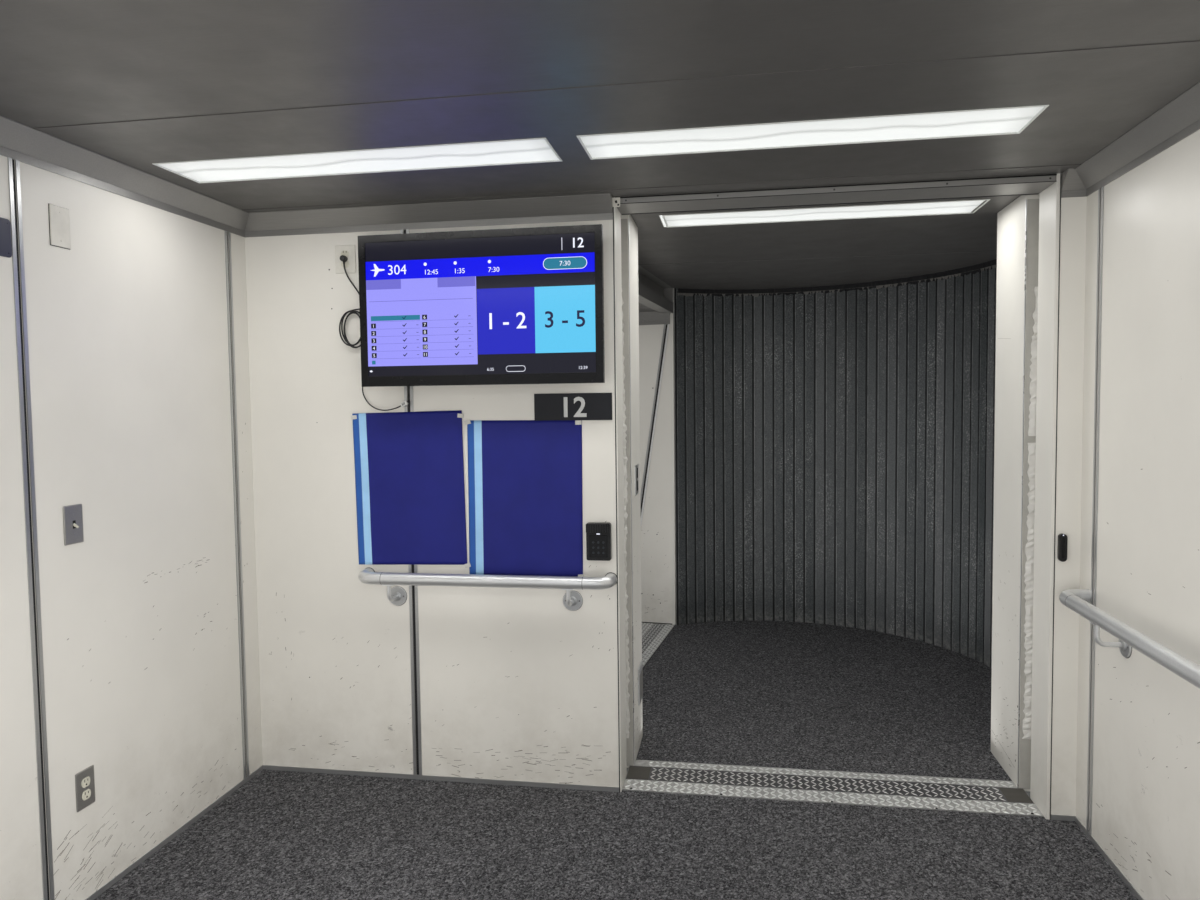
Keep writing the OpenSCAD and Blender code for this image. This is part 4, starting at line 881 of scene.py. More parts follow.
def make_readers():
    low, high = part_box("card_readers")
    x, z = low.x - WALL_X0, low.z - FLOOR
    shell = Form(ON_FRONT)
    shell.prism(round_box(x - 0.0006, z - 0.0006, 0.0942, 0.1442, 0.0075, 6), 0.0004, 0.0225)
    shell.done("reader_case", "reader_black", 0.0018)
    screen = Form(ON_FRONT)
    screen.prism(round_box(x + 0.011, z + 0.012, 0.071, 0.086, 0.004, 4), 0.0258, 0.0275)
    screen.done("reader_face", "screen_off", 0.0006)
    hood = Form(ON_FRONT)
    steps = 10
    for k in range(steps):
        part = k / (steps - 1)
        reach = 0.0325 + 0.0065 * math.sin(math.pi * part)
        u = x + 0.004 + 0.0855 * part
        hood.box((u - 0.0045, z + 0.1085, 0.0315), (u + 0.0045, z + 0.1405, reach))
    hood.done("reader_hood", "reader_black", 0.001)
    lamp = Form(ON_FRONT).box((x + 0.040, z + 0.1005, 0.0262), (x + 0.053, z + 0.1045, 0.0282))
    lamp.done("reader_lamp", "ui_white")
    keys = Form(ON_FRONT)
    for row in range(3):
        for column in range(3):
            key = (x + 0.027 + 0.0195 * column, z + 0.030 + 0.020 * row)
            keys.disc(key, 0.0045, 0.0272, 0.0280, 0.004, 12)
    keys.done("reader_keys", "ui_dim")
    sx = high.x - WALL_X0 - 0.0135
    groove = Form(ON_FRONT)
    groove.prism(round_box(sx - 0.0045, z + 0.036, 0.009, 0.074, 0.0044, 6), 0.0148, 0.0156)
    groove.done("slim_reader_window", "screen_off")
    slim = Form(ON_FRONT).disc((sx, z + 0.118), 0.0022, 0.0149, 0.0158)
    slim.done("slim_reader_lamp", "ui_white")


SLOT_SIZES = ((-0.0063, 0.0082), (0.0063, 0.0066))


def receptacle(form, u, v, top):
    """A round face with a flat top and foot, which stands 3 mm deep in its plate."""
    turns = [k * math.tau / 40 for k in range(40)]
    form.prism([(u + 0.0170 * math.cos(t), v + max(-0.0142, min(0.0142, 0.0170 * math.sin(t)))) for t in turns],
               0.003, top)


def socket_slots(form, u, v, low, high):
    """The two upright slots of a receptacle."""
    for du, tall in SLOT_SIZES:
        form.box((u + du - 0.0011, v, low), (u + du + 0.0011, v + tall, high))


def make_plates():
    """Cover plates, each in its own finish, in the places of the CAD plates."""
    u = -0.989
    plates = Form(ON_LEFT)
    for z in (1.109, 0.299):
        plates.box((u, z, -0.0004), (u + 0.072, z + 0.117, 0.005))
    bronze = plates.done("plates_bronze", "plate_metal", 0.0028)
    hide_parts("wall_plates")
    blank = Form(ON_LEFT).box((u, 1.991, 0.0005), (u + 0.072, 2.108, 0.0055))
    blank.done("plate_blank", "plate_white", 0.002)
    # A dark sheet a little larger than the blank plate, behind it, paints the plate's shadow on the wall
    blank_plate_shadow = Form(ON_LEFT).box((u - 0.001, 1.9895, -0.0005), (u + 0.0732, 2.109, 0.0012))
    blank_plate_shadow.done("plate_blank_shadow", "dark_hole")
    screws = Form(ON_LEFT).screws([(u + 0.036, 2.091), (u + 0.036, 2.008)], 0.0036, 0.0055)
    screws.done("plate_blank_screws", "plate_white")
    # Toggle switch and its lever, which points down
    screws = Form(ON_LEFT).screws([(u + 0.036, 1.1975), (u + 0.036, 1.1375)], 0.0034, 0.005)
    screws.done("switch_screws", "screw_steel")
    slot = Form(ON_LEFT).box((u + 0.0305, 1.1555, 0.0045), (u + 0.0415, 1.1795, 0.0056))
    slot.done("switch_slot", "dark_hole")
    lever = Form(ON_LEFT)
    lever.rod((u + 0.036, 1.168, 0.003), (u + 0.037, 1.1585, 0.0185), 0.0046, 0.0033, 12)
    lever.done("switch_lever", "ivory", 0.0008)
    # Two receptacles with their slots
    sockets = Form(ON_LEFT)
    slots = Form(ON_LEFT)
    for z in (0.338, 0.377):
        receptacle(sockets, u + 0.036, z, 0.0068)
        socket_slots(slots, u + 0.036, z + 0.002, 0.0066, 0.0071)
        slots.disc((u + 0.036, z - 0.0068), 0.0026, 0.0066, 0.0071, segments=16)
    sockets.done("duplex_faces", "ivory", 0.0006)
    slots.done("duplex_slots", "dark_hole")
    Form(ON_LEFT).screws([(u + 0.036, 0.3575)], 0.0034, 0.005).done("duplex_screw", "screw_steel")
    navy = Form(ON_LEFT)
    navy.prism(round_box(-1.325, 1.929, 0.200, 0.104, 0.010, 6), 0.0, 0.0034)
    navy.done("plate_navy", "plate_navy", 0.0008)
    corners = [(x, z) for z in (1.940, 2.022) for x in (-1.315, -1.135)]
    Form(ON_LEFT).screws(corners, 0.0028, 0.0034).done("plate_navy_screws", "plate_navy")
    # Outlet on the front wall, where the screen's cord is plugged in
    outlet = Form(ON_FRONT).box((0.390, 2.0425, -0.0004), (0.476, 2.1535, 0.005))
    outlet.done("outlet_plate", "plate_white", 0.0022)
    faces = Form(ON_FRONT)
    for z in (2.0785, 2.1175):
        receptacle(faces, 0.433, z, 0.0066)
    faces.done("outlet_faces", "ivory", 0.0006)
    holes = Form(ON_FRONT)
    socket_slots(holes, 0.433, 2.1225, 0.0063, 0.0069)
    holes.done("outlet_slots", "dark_hole")
    # Strike plate with its two slots, and the plain plate low on the left jamb
    strike = Form(ON_LEFT_REAR)
    strike.box((0.370, 1.122, -0.0005), (0.475, 1.246, 0.002))
    strike.done("strike_plate", "strike_metal", 0.0008)
    slots = Form(ON_LEFT_REAR)
    for z in (1.134, 1.190):
        slots.box((0.423, z, 0.0012), (0.463, z + 0.044, 0.0023))
    slots.done("strike_slots", "dark_hole")
    rim = Form(ON_LEFT_REAR)
    for v in (1.120, 1.245):
        rim.box((0.368, v, 0.0), (0.477, v + 0.003, 0.0034))
    rim.box((0.368, 1.120, 0.0), (0.371, 1.248, 0.0034)).box((0.474, 1.120, 0.0), (0.477, 1.248, 0.0034))
    rim.screws([(0.392, 1.137), (0.392, 1.231)], 0.0036, 0.002).done("strike_rim", "strip_bright", 0.0006)
    plate = Form(ON_LEFT_REAR).box((0.400, 0.200, -0.0005), (0.525, 0.360, 0.008))
    plate.done("low_plate", "strip_bright", 0.0015)
    shade = Form(ON_LEFT_REAR).box((0.404, 0.204, 0.0078), (0.521, 0.330, 0.0083))
    shade.screws([(0.415, 0.344), (0.510, 0.344)], 0.005, 0.008).done("low_plate_face", "plate_metal")


def lug(bm, place, length, width, height):
    """One pointed lug of a tread plate, with a flat top."""
    outline = [(-length / 2, 0), (0, -width / 2), (length / 2, 0), (0, width / 2)]
    foot = [bm.verts.new(place @ Vector((u, v, 0))) for u, v in outline]
    top = [bm.verts.new(place @ Vector((u * 0.62, v * 0.62, height))) for u, v in outline]
    bm.faces.new(top)
    for k in range(4):
        j = (k + 1) % 4
        bm.faces.new((foot[k], foot[j], top[j], top[k]))


def lugs(name, place, low, high, pitch, length, width, height, rows):
    """Bright diamond tread between two corners of a face: lugs in turned pairs."""
    bm = bmesh.new()
    count_u = int((high[0] - low[0]) / pitch)
    step_u = (high[0] - low[0]) / count_u
    step_v = (high[1] - low[1]) / rows
    for i in range(count_u):
        for j in range(rows):
            u = low[0] + (i + 0.5) * step_u
            v = low[1] + (j + 0.5) * step_v
            turn = math.radians(45 if (i + j) % 2 else -45)
            spot = place @ Matrix.Translation((u, v, 0)) @ Matrix.Rotation(turn, 4, "Z")
            lug(bm, spot, length, width, height)
    return mesh_piece(name, bm, "tread_bright", turned=False)


def make_treads():
    low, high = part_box("door_sill")
    top = face(Vector((WALL_X0, FRONT_Y, high.z)), AXIS_X, AXIS_Y)
    x0, x1 = low.x - WALL_X0, high.x - WALL_X0
    lugs("sill_lugs_front", top, (x0 + 0.006, 0.018), (x1 - 0.006, 0.110), 0.0265, 0.033, 0.0125, 0.0018, 4)
    lugs("sill_lugs_rear", top, (x0 + 0.075, 0.240), (x1 - 0.026, 0.296), 0.0265, 0.031, 0.0115, 0.0016, 2)
    # The middle plate is plain and worn, with thin bright lugs between its ends
    middle = Form(top)
    middle.box((x0 + 0.002, 0.1135, -0.0008), (x1 - 0.002, 0.2345, 0.0007))
    middle.done("sill_middle", "tread_dark", 0.0006)
    raised = face(Vector((WALL_X0, FRONT_Y, high.z + 0.0006)), AXIS_X, AXIS_Y)
    lugs("sill_lugs_middle", raised, (x0 + 0.095, 0.118), (x1 - 0.095, 0.230), 0.0262, 0.031, 0.0062, 0.0016, 5)
    worn = Form(top)
    for a, b in ((x0 + 0.004, x0 + 0.092), (x1 - 0.092, x1 - 0.004)):
        worn.box((a, 0.116, 0.0004), (b, 0.232, 0.0012))
    worn.done("sill_worn_ends", "tread_worn", 0.0004)
    screws = Form(top)
    places = [(x0 + 0.035, 0.030), (1.902, 0.028), (2.315, 0.026), (2.690, 0.026), (x1 - 0.035, 0.030)]
    screws.screws(places, 0.0062, 0.0, 0.0018)
    screws.done("sill_screws", "dark_hole")
    lips = Form(top)
    for y in (0.0145, 0.1125, 0.2345):
        lips.box((x0 + 0.001, y, -0.0006), (x1 - 0.001, y + 0.0016, 0.0012))
    lips.done("sill_lips", "tread_dark", 0.0004)
    make_ramp(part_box("tunnel_ramp")[1].z - FLOOR)


def make_ramp(ramp_top):
    """Two bright bands of tread on the tunnel's ramp, with a dark one between them."""
    half = TUNNEL_HALF - 0.004
    for name, a, b, top, plate, long, wide, rows in (
            ("near", 0.0015, 0.0655, ramp_top, "tread_mid", 0.031, 0.0115, 3),
            ("middle", 0.0680, 0.1420, 0.0, "tread_dark", 0.028, 0.0060, 3),
            ("far", 0.1455, 0.2480, ramp_top, "tread_mid", 0.031, 0.0110, 4)):
        place = IN_TUNNEL @ Matrix.Translation((0, 0, top))
        base = Form(place).box((PORTAL_U + a, -half, -0.0006), (PORTAL_U + b, half, 0.0006))
        base.done(f"ramp_plate_{name}", plate, 0.0004)
        across = place @ Matrix.Translation((0, 0, 0.0005)) @ Matrix.Rotation(math.radians(90), 4, "Z")
        lugs(f"ramp_lugs_{name}", across, (-half + 0.004, -(PORTAL_U + b - 0.002)),
             (half - 0.004, -(PORTAL_U + a + 0.002)), 0.0262, long, wide, 0.0018, rows)
    edge = Form(IN_TUNNEL).box((PORTAL_U - 0.0035, -half, -0.0006), (PORTAL_U + 0.0012, half, 0.0012))
    edge.done("ramp_edge", "dark_hole")
    far_wall = IN_TUNNEL @ face(Vector((0, -TUNNEL_HALF, 0)), -AXIS_X, AXIS_Z)
    foot = Form(far_wall).box((-2.0, ramp_top, -0.0005), (-PORTAL_U - 0.022, ramp_top + 0.0055, 0.0016))
    foot.done("tunnel_foot", "gasket_black")
    # Bright lip along the near side of the slanted gasket
    lip = Form(far_wall)
    foot_v, top_v = ramp_top + 0.006, GASKET_TOP - 0.001
    foot_u, top_u = (0.0065 - GASKET_U - (GASKET_TOP - v) * math.tan(GASKET_LEAN) for v in (foot_v, top_v))
    corners = [(foot_u, foot_v), (foot_u + 0.011, foot_v), (top_u + 0.011, top_v), (top_u, top_v)]
    lip.prism(corners, 0.0006, 0.0040)
    lip.done("tunnel_lip", "lip_bright", 0.0005)
    regions = [(-1.7, 0.03, 0.86, 0.22, 46, 0.030, 6), (-1.2, 0.25, 0.38, 0.40, 22, 0.014, 40),
               (-1.9, 0.5, 1.0, 0.5, 16, 0.02, 0)]
    scratches("tunnel_wall_marks", far_wall, regions, 41)
    pits = Form(far_wall)
    for u, v in ((-0.93, 0.20), (-1.01, 0.205), (-0.88, 0.145), (-0.90, 0.62), (-0.97, 1.15), (-0.92, 1.62)):
        pits.disc((u, v), 0.004, -0.0004, 0.0006, segments=12)
    pits.done("tunnel_wall_pits", "dark_hole")


def make_header():
    low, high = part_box("door_header")
    x0, x1 = low.x - WALL_X0, high.x - WALL_X0
    out = FRONT_Y - low.y
    strip = Form(ON_FRONT).box((x0 + 0.030, 2.2615, out - 0.0005), (x1 - 0.004, 2.2795, out + 0.0018))
    strip.done("header_strip", "header_alu", 0.0006)
    line = Form(ON_FRONT)
    line.box((x0 - 0.001, 2.2800, out - 0.0005), (x1 + 0.001, CEIL_H - 0.001, out + 0.0006))
    line.box((x0 - 0.001, 2.2590, out - 0.0005), (x1 + 0.001, 2.2612, out + 0.0006))
    line.done("header_lines", "dark_hole")
    places = [(x0 + 0.042, 2.2705), (1.900, 2.2705), (2.315, 2.2705), (2.700, 2.2705), (x1 - 0.020, 2.2705)]
    Form(ON_FRONT).screws(places, 0.0042, out + 0.0018).done("header_screws", "screw_dark")
    clip = Form(ON_FRONT)
    clip.box((x0 - 0.012, 2.249, out - 0.0015), (x0 + 0.020, 2.283, out + 0.0035))
    clip.done("header_clip", "plate_white", 0.0012)
    bits = Form(ON_FRONT)
    bits.box((x0 + 0.001, 2.262, out + 0.003), (x0 + 0.009, 2.272, out + 0.0042), 0.3)
    bits.box((x0 + 0.010, 2.252, out + 0.003), (x0 + 0.016, 2.259, out + 0.0042), -0.4)
    bits.done("header_clip_holes", "dark_hole")
    back = FRONT_Y - high.y
    rear = Form(ON_FRONT)
    rear.box((x0 + 0.002, CEIL_H - 0.0285, back - 0.002), (x1 - 0.002, CEIL_H - 0.0265, back + 0.006))
    rear.done("header_rear_line", "gasket_black")


RAGGED_STEP = 0.012


def ragged(name, place, path, width, thick, material, seed, jitter):
    """A torn ribbon along a path of points on a face, with uneven edges and small creases."""
    noise = random.Random(seed)
    points = []
    for a, b in zip(path, path[1:]):
        a, b = Vector(a), Vector(b)
        count = max(1, int((b - a).length / RAGGED_STEP))
        points += [a.lerp(b, k / count) for k in range(count)]
    points.append(Vector(path[-1]))
    bm = bmesh.new()
    rows = []
    for i, p in enumerate(points):
        ahead = points[min(i + 1, len(points) - 1)] - points[max(i - 1, 0)]
        side = Vector((ahead.y, -ahead.x, 0)).normalized()
        left = width / 2 * (1 + noise.uniform(-jitter, jitter))
        right = width / 2 * (1 + noise.uniform(-jitter, jitter))
        lift = thick * noise.uniform(0.35, 1.6)
        fold = thick * noise.uniform(0.2, 2.4)
        row = [p - side * left, p - side * left + Vector((0, 0, lift)), p + Vector((0, 0, fold)),
               p + side * right + Vector((0, 0, lift * 0.7)), p + side * right]
        rows.append([bm.verts.new(place @ q) for q in row])
    for a, b in zip(rows, rows[1:]):
        for k in range(4):
            bm.faces.new((a[k], a[k + 1], b[k + 1], b[k]))
        bm.faces.new((a[4], a[0], b[0], b[4]))
    bm.faces.new(rows[0])
    bm.faces.new(list(reversed(rows[-1])))
    return mesh_piece(name, bm, material)


def scratches(name, place, regions, seed):
    """Thin short marks inside regions of a face: (u, v, width, height, count, longest, tilt)."""
    noise = random.Random(seed)
    form = Form(place)
    for u, v, width, height, count, longest, tilt in regions:
        for _ in range(count):
            cu, cv = u + noise.uniform(0, width), v + noise.uniform(0, height)
            long, thick = longest * noise.uniform(0.15, 1), noise.uniform(0.0006, 0.0022)
            turn = math.radians(tilt + noise.uniform(-16, 16))
            form.box((cu - long / 2, cv - thick / 2, -0.0002), (cu + long / 2, cv + thick / 2, 0.00025), turn)
    form.done(name, "scuff")


def make_jambs():
    top = CEIL_H - 0.03
    for name, place in (("left", ON_LEFT_REAR), ("right", ON_RIGHT_REAR)):
        side = 1 if name == "left" else -1
        # The rear part's front edge has a thin bright ridge on a step, which a grey sheet covers with painted
        # shade
        ridge = Form(place)
        u = side * REAR_Y
        ridge.box((min(u, u + side * 0.005), 0.002, -0.003), (max(u, u + side * 0.005), top, 0.0022))
        ridge.done(f"jamb_ridge_{name}", "strip_bright", 0.0012)
        # A grey sheet over the step paints the shade of the recess
        step = Form(place)
        step.box((min(u, u - side * 0.0008), 0.001, -0.0555), (max(u, u - side * 0.0008), top, -0.0035))
        step.done(f"jamb_step_{name}", "step_shade_grey")
    # Old tape over the steps, lumpy and loose, with the dark line that it leaves along the post
    out = -REAR_Y + 0.0009
    for name, middle, path, width, thick, material, seed, jitter in (
            ("tape_right", DOOR_X1 + 0.012, ((18, 1.93), (12, 1.78), (6, 1.62), (4, 1.37)),
             0.030, 0.0045, "tape_white", 5, 0.35),
            ("tape_low_right", DOOR_X1 + 0.012, ((4, 1.345), (6, 1.10), (-2, 0.80), (4, 0.50), (0, 0.20)),
             0.034, 0.0045, "tape_white", 6, 0.30),
            ("caulk_right", DOOR_X1, ((34, top), (33, 1.90), (29, 1.80)),
             0.0035, 0.0016, "gasket_black", 9, 0.35),
            ("tape_left", DOOR_X - 0.012,
             ((-10, 1.98), (-4, 1.60), (3, 1.20), (-3, 0.80), (2, 0.40), (0, 0.12)),
             0.028, 0.0045, "tape_white", 7, 0.35),
            ("caulk_left", DOOR_X, ((-33, top), (-33, 1.40), (-34, 0.60), (-33, 0.01)),
             0.004, 0.0014, "gasket_black", 8, 0.3)):
        line = [(middle + aside / 1000, height, out) for aside, height in path]
        ragged(f"jamb_{name}", ON_FRONT, line, width, thick, material, seed, jitter)
    for name, place, sign in (("left", ON_LEFT_REAR, 1), ("right", ON_RIGHT_REAR, -1)):
        regions = [(min(sign * 0.25, sign * 0.56), 0.03, 0.31, 0.30, 42, 0.030, 20),
                   (min(sign * 0.25, sign * 0.56), 0.35, 0.31, 0.55, 16, 0.020, -35)]
        scratches(f"jamb_scratches_{name}", place, regions, 11 + sign)
    holes = Form(ON_RIGHT_REAR)
    for u, v, r in ((-0.257, 0.318, 0.0042), (-0.252, 0.505, 0.0024), (-0.274, 0.096, 0.0040),
                    (-0.330, 0.640, 0.0016)):
        holes.disc((u, v), r, -0.0004, 0.0004, segments=14)
    holes.done("jamb_holes", "dark_hole")
    crack = Form(ON_RIGHT_REAR)
    crack.box((-0.570, 1.7572, -0.0002), (-0.400, 1.7578, 0.0002), math.radians(-4.5))
    crack.box((-0.590, 0.0800, -0.0002), (-0.280, 0.0812, 0.0002), math.radians(-6.0))
    crack.done("jamb_cracks", "scuff")
    # Light edge trim of the right post towards the wall panel
    trims = Form(ON_FRONT).box((DOOR_X1 - 0.0003, 0.002, 0.0005), (DOOR_X1 + 0.0105, top, 0.0045))
    trims.done("post_trim_right", "frame_white", 0.0012)


def make_marks():
    """Scuffs, scratches and small holes where the photographed walls have them."""
    left = [(-0.66, 0.925, 0.36, 0.030, 26, 0.022, 4), (-1.08, 0.00, 0.26, 0.25, 60, 0.050, 24),
            (-0.86, 0.02, 0.70, 0.16, 44, 0.030, 12), (-0.40, 0.62, 0.30, 0.20, 14, 0.016, 5),
            (-1.05, 0.60, 0.70, 0.32, 16, 0.014, 30), (-0.14, 0.75, 0.10, 0.75, 18, 0.012, 70)]
    scratches("left_wall_marks", ON_LEFT, left, 21)
    front = [(0.12, 0.02, 0.56, 0.14, 30, 0.030, 6), (0.74, 0.02, 0.74, 0.12, 54, 0.034, 3),
             (1.10, 0.06, 0.38, 0.12, 40, 0.042, 2), (0.02, 0.25, 0.16, 0.50, 16, 0.018, 82),
             (0.30, 0.20, 0.36, 0.40, 18, 0.016, 40), (0.76, 0.22, 0.70, 0.45, 26, 0.016, 20),
             (1.40, 0.55, 0.10, 0.60, 16, 0.012, 60)]
    scratches("front_wall_marks", ON_FRONT, front, 22)
    right = [(0.10, 0.02, 0.80, 0.16, 40, 0.040, 8), (0.15, 0.40, 0.90, 0.36, 22, 0.020, 30),
             (0.95, 0.02, 1.20, 0.20, 40, 0.040, 4), (0.2, 0.9, 2.2, 0.4, 20, 0.018, 0)]
    scratches("right_wall_marks", ON_RIGHT, right, 23)
    holes = Form(ON_FRONT)
    for u, v, r in ((0.362, 2.060, 0.0030), (0.372, 1.985, 0.0026), (0.368, 1.905, 0.0026),
                    (0.290, 1.450, 0.0018), (0.224, 0.400, 0.0022), (1.480, 0.760, 0.0020)):
        holes.disc((u, v), r, -0.0004, 0.0008, segments=12)
    holes.done("front_wall_holes", "dark_hole")


def rail_details(name, place, ends, brackets, rail_v, out):
    """Joint rings of a rail along u, and the screws of its flanges and saddles."""
    rings = Form(place)
    for u in ends:
        rings.rod((u - 0.0010, rail_v, out), (u + 0.0010, rail_v, out), 0.02425, segments=48)
    rings.done(f"{name}_joints", "rail_dark")
    screws = Form(place)
    foot = rail_v - 0.087
    places = [(u + du, foot) for u in brackets for du in (-0.027, 0.027)]
    screws.screws(places, 0.0044, 0.006, 0.0016)
    screws.done(f"{name}_screws", "rail_dark", 0.0004)
    plates = Form(place)
    for u in brackets:
        plates.disc((u, foot), 0.0368, 0.0056, 0.0068, segments=40)
        plates.disc((u, foot), 0.0185, 0.0135, 0.0165, 0.0120, 28)
    plates.done(f"{name}_flanges", "flange_metal", 0.0006)
    # A dark disc a little wider than each flange and set a little low paints the flange's shadow on the wall;
    # two short dark rods stand under the rail beside each bracket
    edges = Form(place)
    for u in brackets:
        edges.disc((u, foot - 0.0008), 0.0396, 0.0002, 0.0012, segments=40)
        for x in (u - 0.014, u + 0.014):
            start = (x, rail_v - 0.0240, out - 0.0135)
            edges.rod(start, (x, rail_v - 0.0262, out - 0.0140), 0.0030, segments=12)
    edges.done(f"{name}_edges", "screw_dark")


RAIL_R = 0.024
RAIL_OUT = 0.085
RAIL_BEND = 0.094


def make_rails():
    low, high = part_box("handrail_front")
    start, end = low.x - WALL_X0 + RAIL_R, high.x - WALL_X0 - RAIL_R
    rail_z = high.z - FLOOR - RAIL_R
    rail_details("front_rail", ON_FRONT, (start + RAIL_BEND, end - RAIL_BEND), (start + 0.120, start + 0.838),
                 rail_z, RAIL_OUT)
    feet = Form(ON_FRONT)
    for u in (start, end):
        feet.disc((u, rail_z), 0.0262, 0.0002, 0.0022, segments=40)
    feet.done("front_rail_feet", "gasket_black")
    low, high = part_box("handrail_right")
    start = FRONT_Y - high.y + RAIL_R
    brackets = [start + 0.287 + 0.984 * i for i in range(3)]
    rail_details("right_rail", ON_RIGHT, (start + RAIL_BEND, start + 1.20, start + 2.30), brackets,
                 high.z - FLOOR - RAIL_R, RAIL_OUT)


def make_curtain_trim():
    """The soft seal under the curtain's rail and its frayed edge."""
    noise = random.Random(31)
    for name, radius, z, tall, material, spread, first in (
            ("curtain_seal", 1.2145, CEIL_H - 0.016, 0.044, "gasket_black", 0.012, True),
            ("curtain_fray", 1.2125, CEIL_H - 0.036, 0.012, "fray", 0.010, False)):
        bm = bmesh.new()
        rings = []
        angle = CURTAIN_FROM
        while angle < CURTAIN_TO:
            rad = math.radians(angle)
            swing = 0.5 + 0.5 * math.sin(angle * 1.9) * math.sin(angle * 0.77 + 1)
            top = z + tall / 2
            bottom = z - tall / 2 - spread * (swing + noise.uniform(-0.35, 0.35))
            if not first and noise.random() < 0.62 + 0.3 * math.sin(angle * 0.31):
                bottom = top - 0.001
            depth = radius - noise.uniform(0, 0.003)
            ring = []
            for r, height in ((radius + 0.0035, top), (radius + 0.0035, bottom), (depth, bottom), (depth, top)):
                ring.append(bm.verts.new((r * math.cos(rad), r * math.sin(rad), FLOOR + height)))
            rings.append(ring)
            angle += 0.55 if first else 0.38
        for a, b in zip(rings, rings[1:]):
            for k in range(4):
                bm.faces.new((a[k], a[(k + 1) % 4], b[(k + 1) % 4], b[k]))
        bm.faces.new(rings[0])
        bm.faces.new(list(reversed(rings[-1])))
        mesh_piece(name, bm, material)


def make_light_frames():
    """The lit lenses with their thin frames and the toothed strip along the far edge."""
    for i, (x, y) in enumerate(LIGHT_CENTRES):
        half_x, half_y = LIGHT_SIZE[0] / 2, LIGHT_SIZE[1] / 2
        place = ON_CEILING @ Matrix.Translation((x, -y, 0))
        lens = Form(place)
        lens.box((-half_x + 0.004, -half_y + 0.004, -0.0035), (half_x - 0.004, half_y - 0.004, -0.0015))
        lens.done(f"lens_{i}", "light_lens")
        trim = Form(place)
        for v in (-half_y, half_y - 0.007):
            trim.box((-half_x, v, -0.004), (half_x, v + 0.007, 0.0022))
        for u in (-half_x, half_x - 0.007):
            trim.box((u, -half_y + 0.007, -0.004), (u + 0.007, half_y - 0.007, 0.0022))
        trim.done(f"lens_frame_{i}", "light_tray", 0.0008)
        teeth = Form(place)
        count = 180
        for k in range(count):
            u = -half_x + 0.010 + (2 * half_x - 0.020) * k / count
            w = (2 * half_x - 0.020) / count
            foot, tip = -half_y + 0.0068, -half_y + 0.0125
            teeth.prism([(u, foot), (u + w * 0.86, foot), (u + w * 0.43, tip)], -0.0018, 0.0014)
        teeth.done(f"lens_teeth_{i}", "light_tray")


def make_rotunda_seam():
    """The joint across the rotunda's ceiling and the bead beside it."""
    seam = Form(ON_CEILING).box((1.03, -1.5335, -0.0004), (3.37, -1.5295, 0.0006))
    seam.done("rotunda_seam", "gasket_black")
    bead = Form(ON_CEILING).box((1.03, -1.5400, -0.0004), (3.37, -1.5335, 0.0012))
    bead.done("rotunda_bead", "cove_grey", 0.0005)


def heads_round(form, radius, height, first, step, count, proud, sizes):
    """A row of heads round the rotunda's axis, at angles in degrees."""
    for k in range(count):
        turn = math.radians(first + step * k)
        out = Vector((math.cos(turn), math.sin(turn), 0))
        foot = out * (radius - 0.001) + Vector((0, 0, height))
        form.rod(foot, foot + out * proud, *sizes)


def heads_along(form, node, height, first, step, count, proud, sizes):
    """A row of heads along both sides of a node, from the mouth."""
    low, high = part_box(node)
    for k in range(count):
        y = MOUTH_Y + first + step * k
        for x, sign in ((low.x, -1), (high.x, 1)):
            form.rod((x - sign * 0.001, y, height), (x + sign * proud, y, height), *sizes)


def make_outside():
    """Bolt heads and screws of the frames and roofs, seen from outside."""
    bolts = Form(Matrix.Identity(4))
    for z in (0.045, 0.160):
        heads_along(bolts, "floor_frame", z, 0.14, 0.25, 12, 0.007, (0.009, None, 6))
    for z in (0.05, 0.15):
        heads_round(bolts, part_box("rotunda_base")[1].x, z, -32, 7.5, 20, 0.007, (0.009, None, 6))
    bolts.done("frame_bolts", "screw_dark", 0.0006)
    screws = Form(Matrix.Identity(4))
    heads_along(screws, "vestibule_roof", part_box("vestibule_roof")[0].z + 0.05, 0.08, 0.125, 24, 0.003,
                (0.006, 0.004, 10))
    low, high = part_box("rotunda_roof")
    heads_round(screws, high.x, low.z + 0.05, -36, 5.4, 30, 0.003, (0.006, 0.004, 10))
    screws.done("roof_screws", "screw_steel")


dress_nodes()
make_cords()
make_screen()
make_monitor()
make_posters()
make_sign()
make_readers()
make_plates()
make_treads()
make_header()
make_jambs()
make_marks()
make_rails()
make_curtain_trim()
make_light_frames()
make_rotunda_seam()
make_outside()


def area_light(name, where, size_x, size_y, power, colour=(1, 1, 1), turn=(0, 0, 0), gloss=True):
    data = bpy.data.lights.new(name, "AREA")
    data.shape = "RECTANGLE"
    data.size, data.size_y = size_x, size_y
    data.energy = power
    data.color = colour
    light = bpy.data.objects.new(name, data)
    light.location = where
    light.rotation_euler = turn
    light.visible_camera = False
    light.visible_glossy = gloss
    bpy.context.scene.collection.objects.link(light)


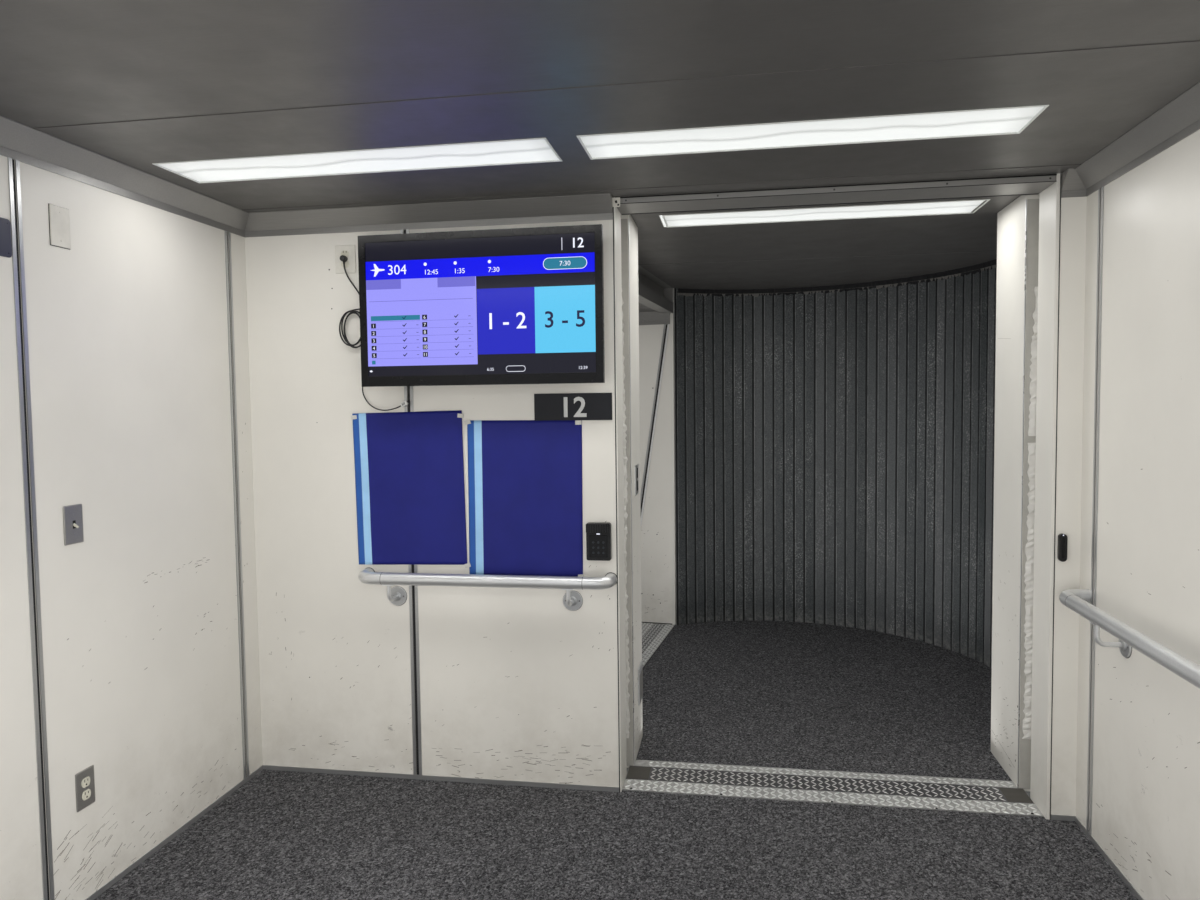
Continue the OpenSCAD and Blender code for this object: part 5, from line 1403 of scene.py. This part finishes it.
def make_lights():
    for i, (x, y) in enumerate(LIGHT_CENTRES):
        power = LIGHT_POWER * (1.5 if y > 0 else 1)
        area_light(f"lamp_{i}", at(x, y, LIGHT_Z), *LIGHT_SIZE, power, (1.0, 0.99, 0.965))
    # Soft fills that the camera doesn't see: from the open end, from both sides, and from the floors
    half_turn = math.radians(180)
    pale = (1, 0.985, 0.97)
    for name, where, size_x, size_y, power, colour, turn in (
            ("fill_mouth", at(1.55, -4.35, 0.9), 2.9, 1.7, 39, (1.0, 0.975, 0.94), (half_turn / 2, 0, 0)),
            ("fill_left", at(1.15, -2.0, 0.62), 0.9, 2.8, 7.5, (1.0, 0.98, 0.955), (0, half_turn / 2, 0)),
            ("fill_right", at(2.0, -2.0, 0.62), 0.9, 2.8, 5.5, (1.0, 0.98, 0.955), (0, -half_turn / 2, 0)),
            ("fill_floor", at(1.55, -2.0, 0.04), 2.6, 3.0, 7, pale, (half_turn, 0, 0)),
            ("fill_rotunda", at(2.25, 1.25, 0.04), 1.5, 1.5, 12, pale, (half_turn, 0, 0)),
            ("lamp_tunnel", IN_TUNNEL @ Vector((1.35, 0, TUNNEL_H - 0.02)), 0.6, 1.2, 2.6, (1.0, 0.985, 0.95),
             (0, 0, SWING))):
        area_light(name, where, size_x, size_y, power, colour, turn, False)
    centre = (cad_low + cad_high) / 2
    area_light("studio_key", centre + Vector((5, -5, 7)), 6, 6, 420,
               turn=(math.radians(45), 0, math.radians(45)))


make_lights()


def make_stage():
    mesh = bpy.data.meshes.new("stage_floor")
    half = 40
    corners = [(-half, -half, 0), (half, -half, 0), (half, half, 0), (-half, half, 0)]
    mesh.from_pydata(corners, [], [(0, 1, 2, 3)])
    floor = bpy.data.objects.new("stage_floor", mesh)
    bpy.context.scene.collection.objects.link(floor)
    f = Finish("stage_floor")
    f.put(Base_Color=(0.80, 0.80, 0.79), Roughness=0.8)
    mesh.materials.append(f.material)
    floor.location.z = -0.0005
    # The fill outside the open end lights the part and not the floor, where it would leave a bright patch
    spared = bpy.data.collections.new("spared_by_the_fill")
    spared.objects.link(floor)
    spared.collection_objects[0].light_linking.link_state = "EXCLUDE"
    bpy.data.objects["fill_mouth"].light_linking.receiver_collection = spared
    world = bpy.data.worlds.new("studio")
    world.use_nodes = True
    world.node_tree.nodes["Background"].inputs["Color"].default_value = (0.93, 0.94, 0.95, 1)
    world.node_tree.nodes["Background"].inputs["Strength"].default_value = 0.75
    bpy.context.scene.world = world


make_stage()

bpy.context.scene.view_settings.view_transform = "Standard"
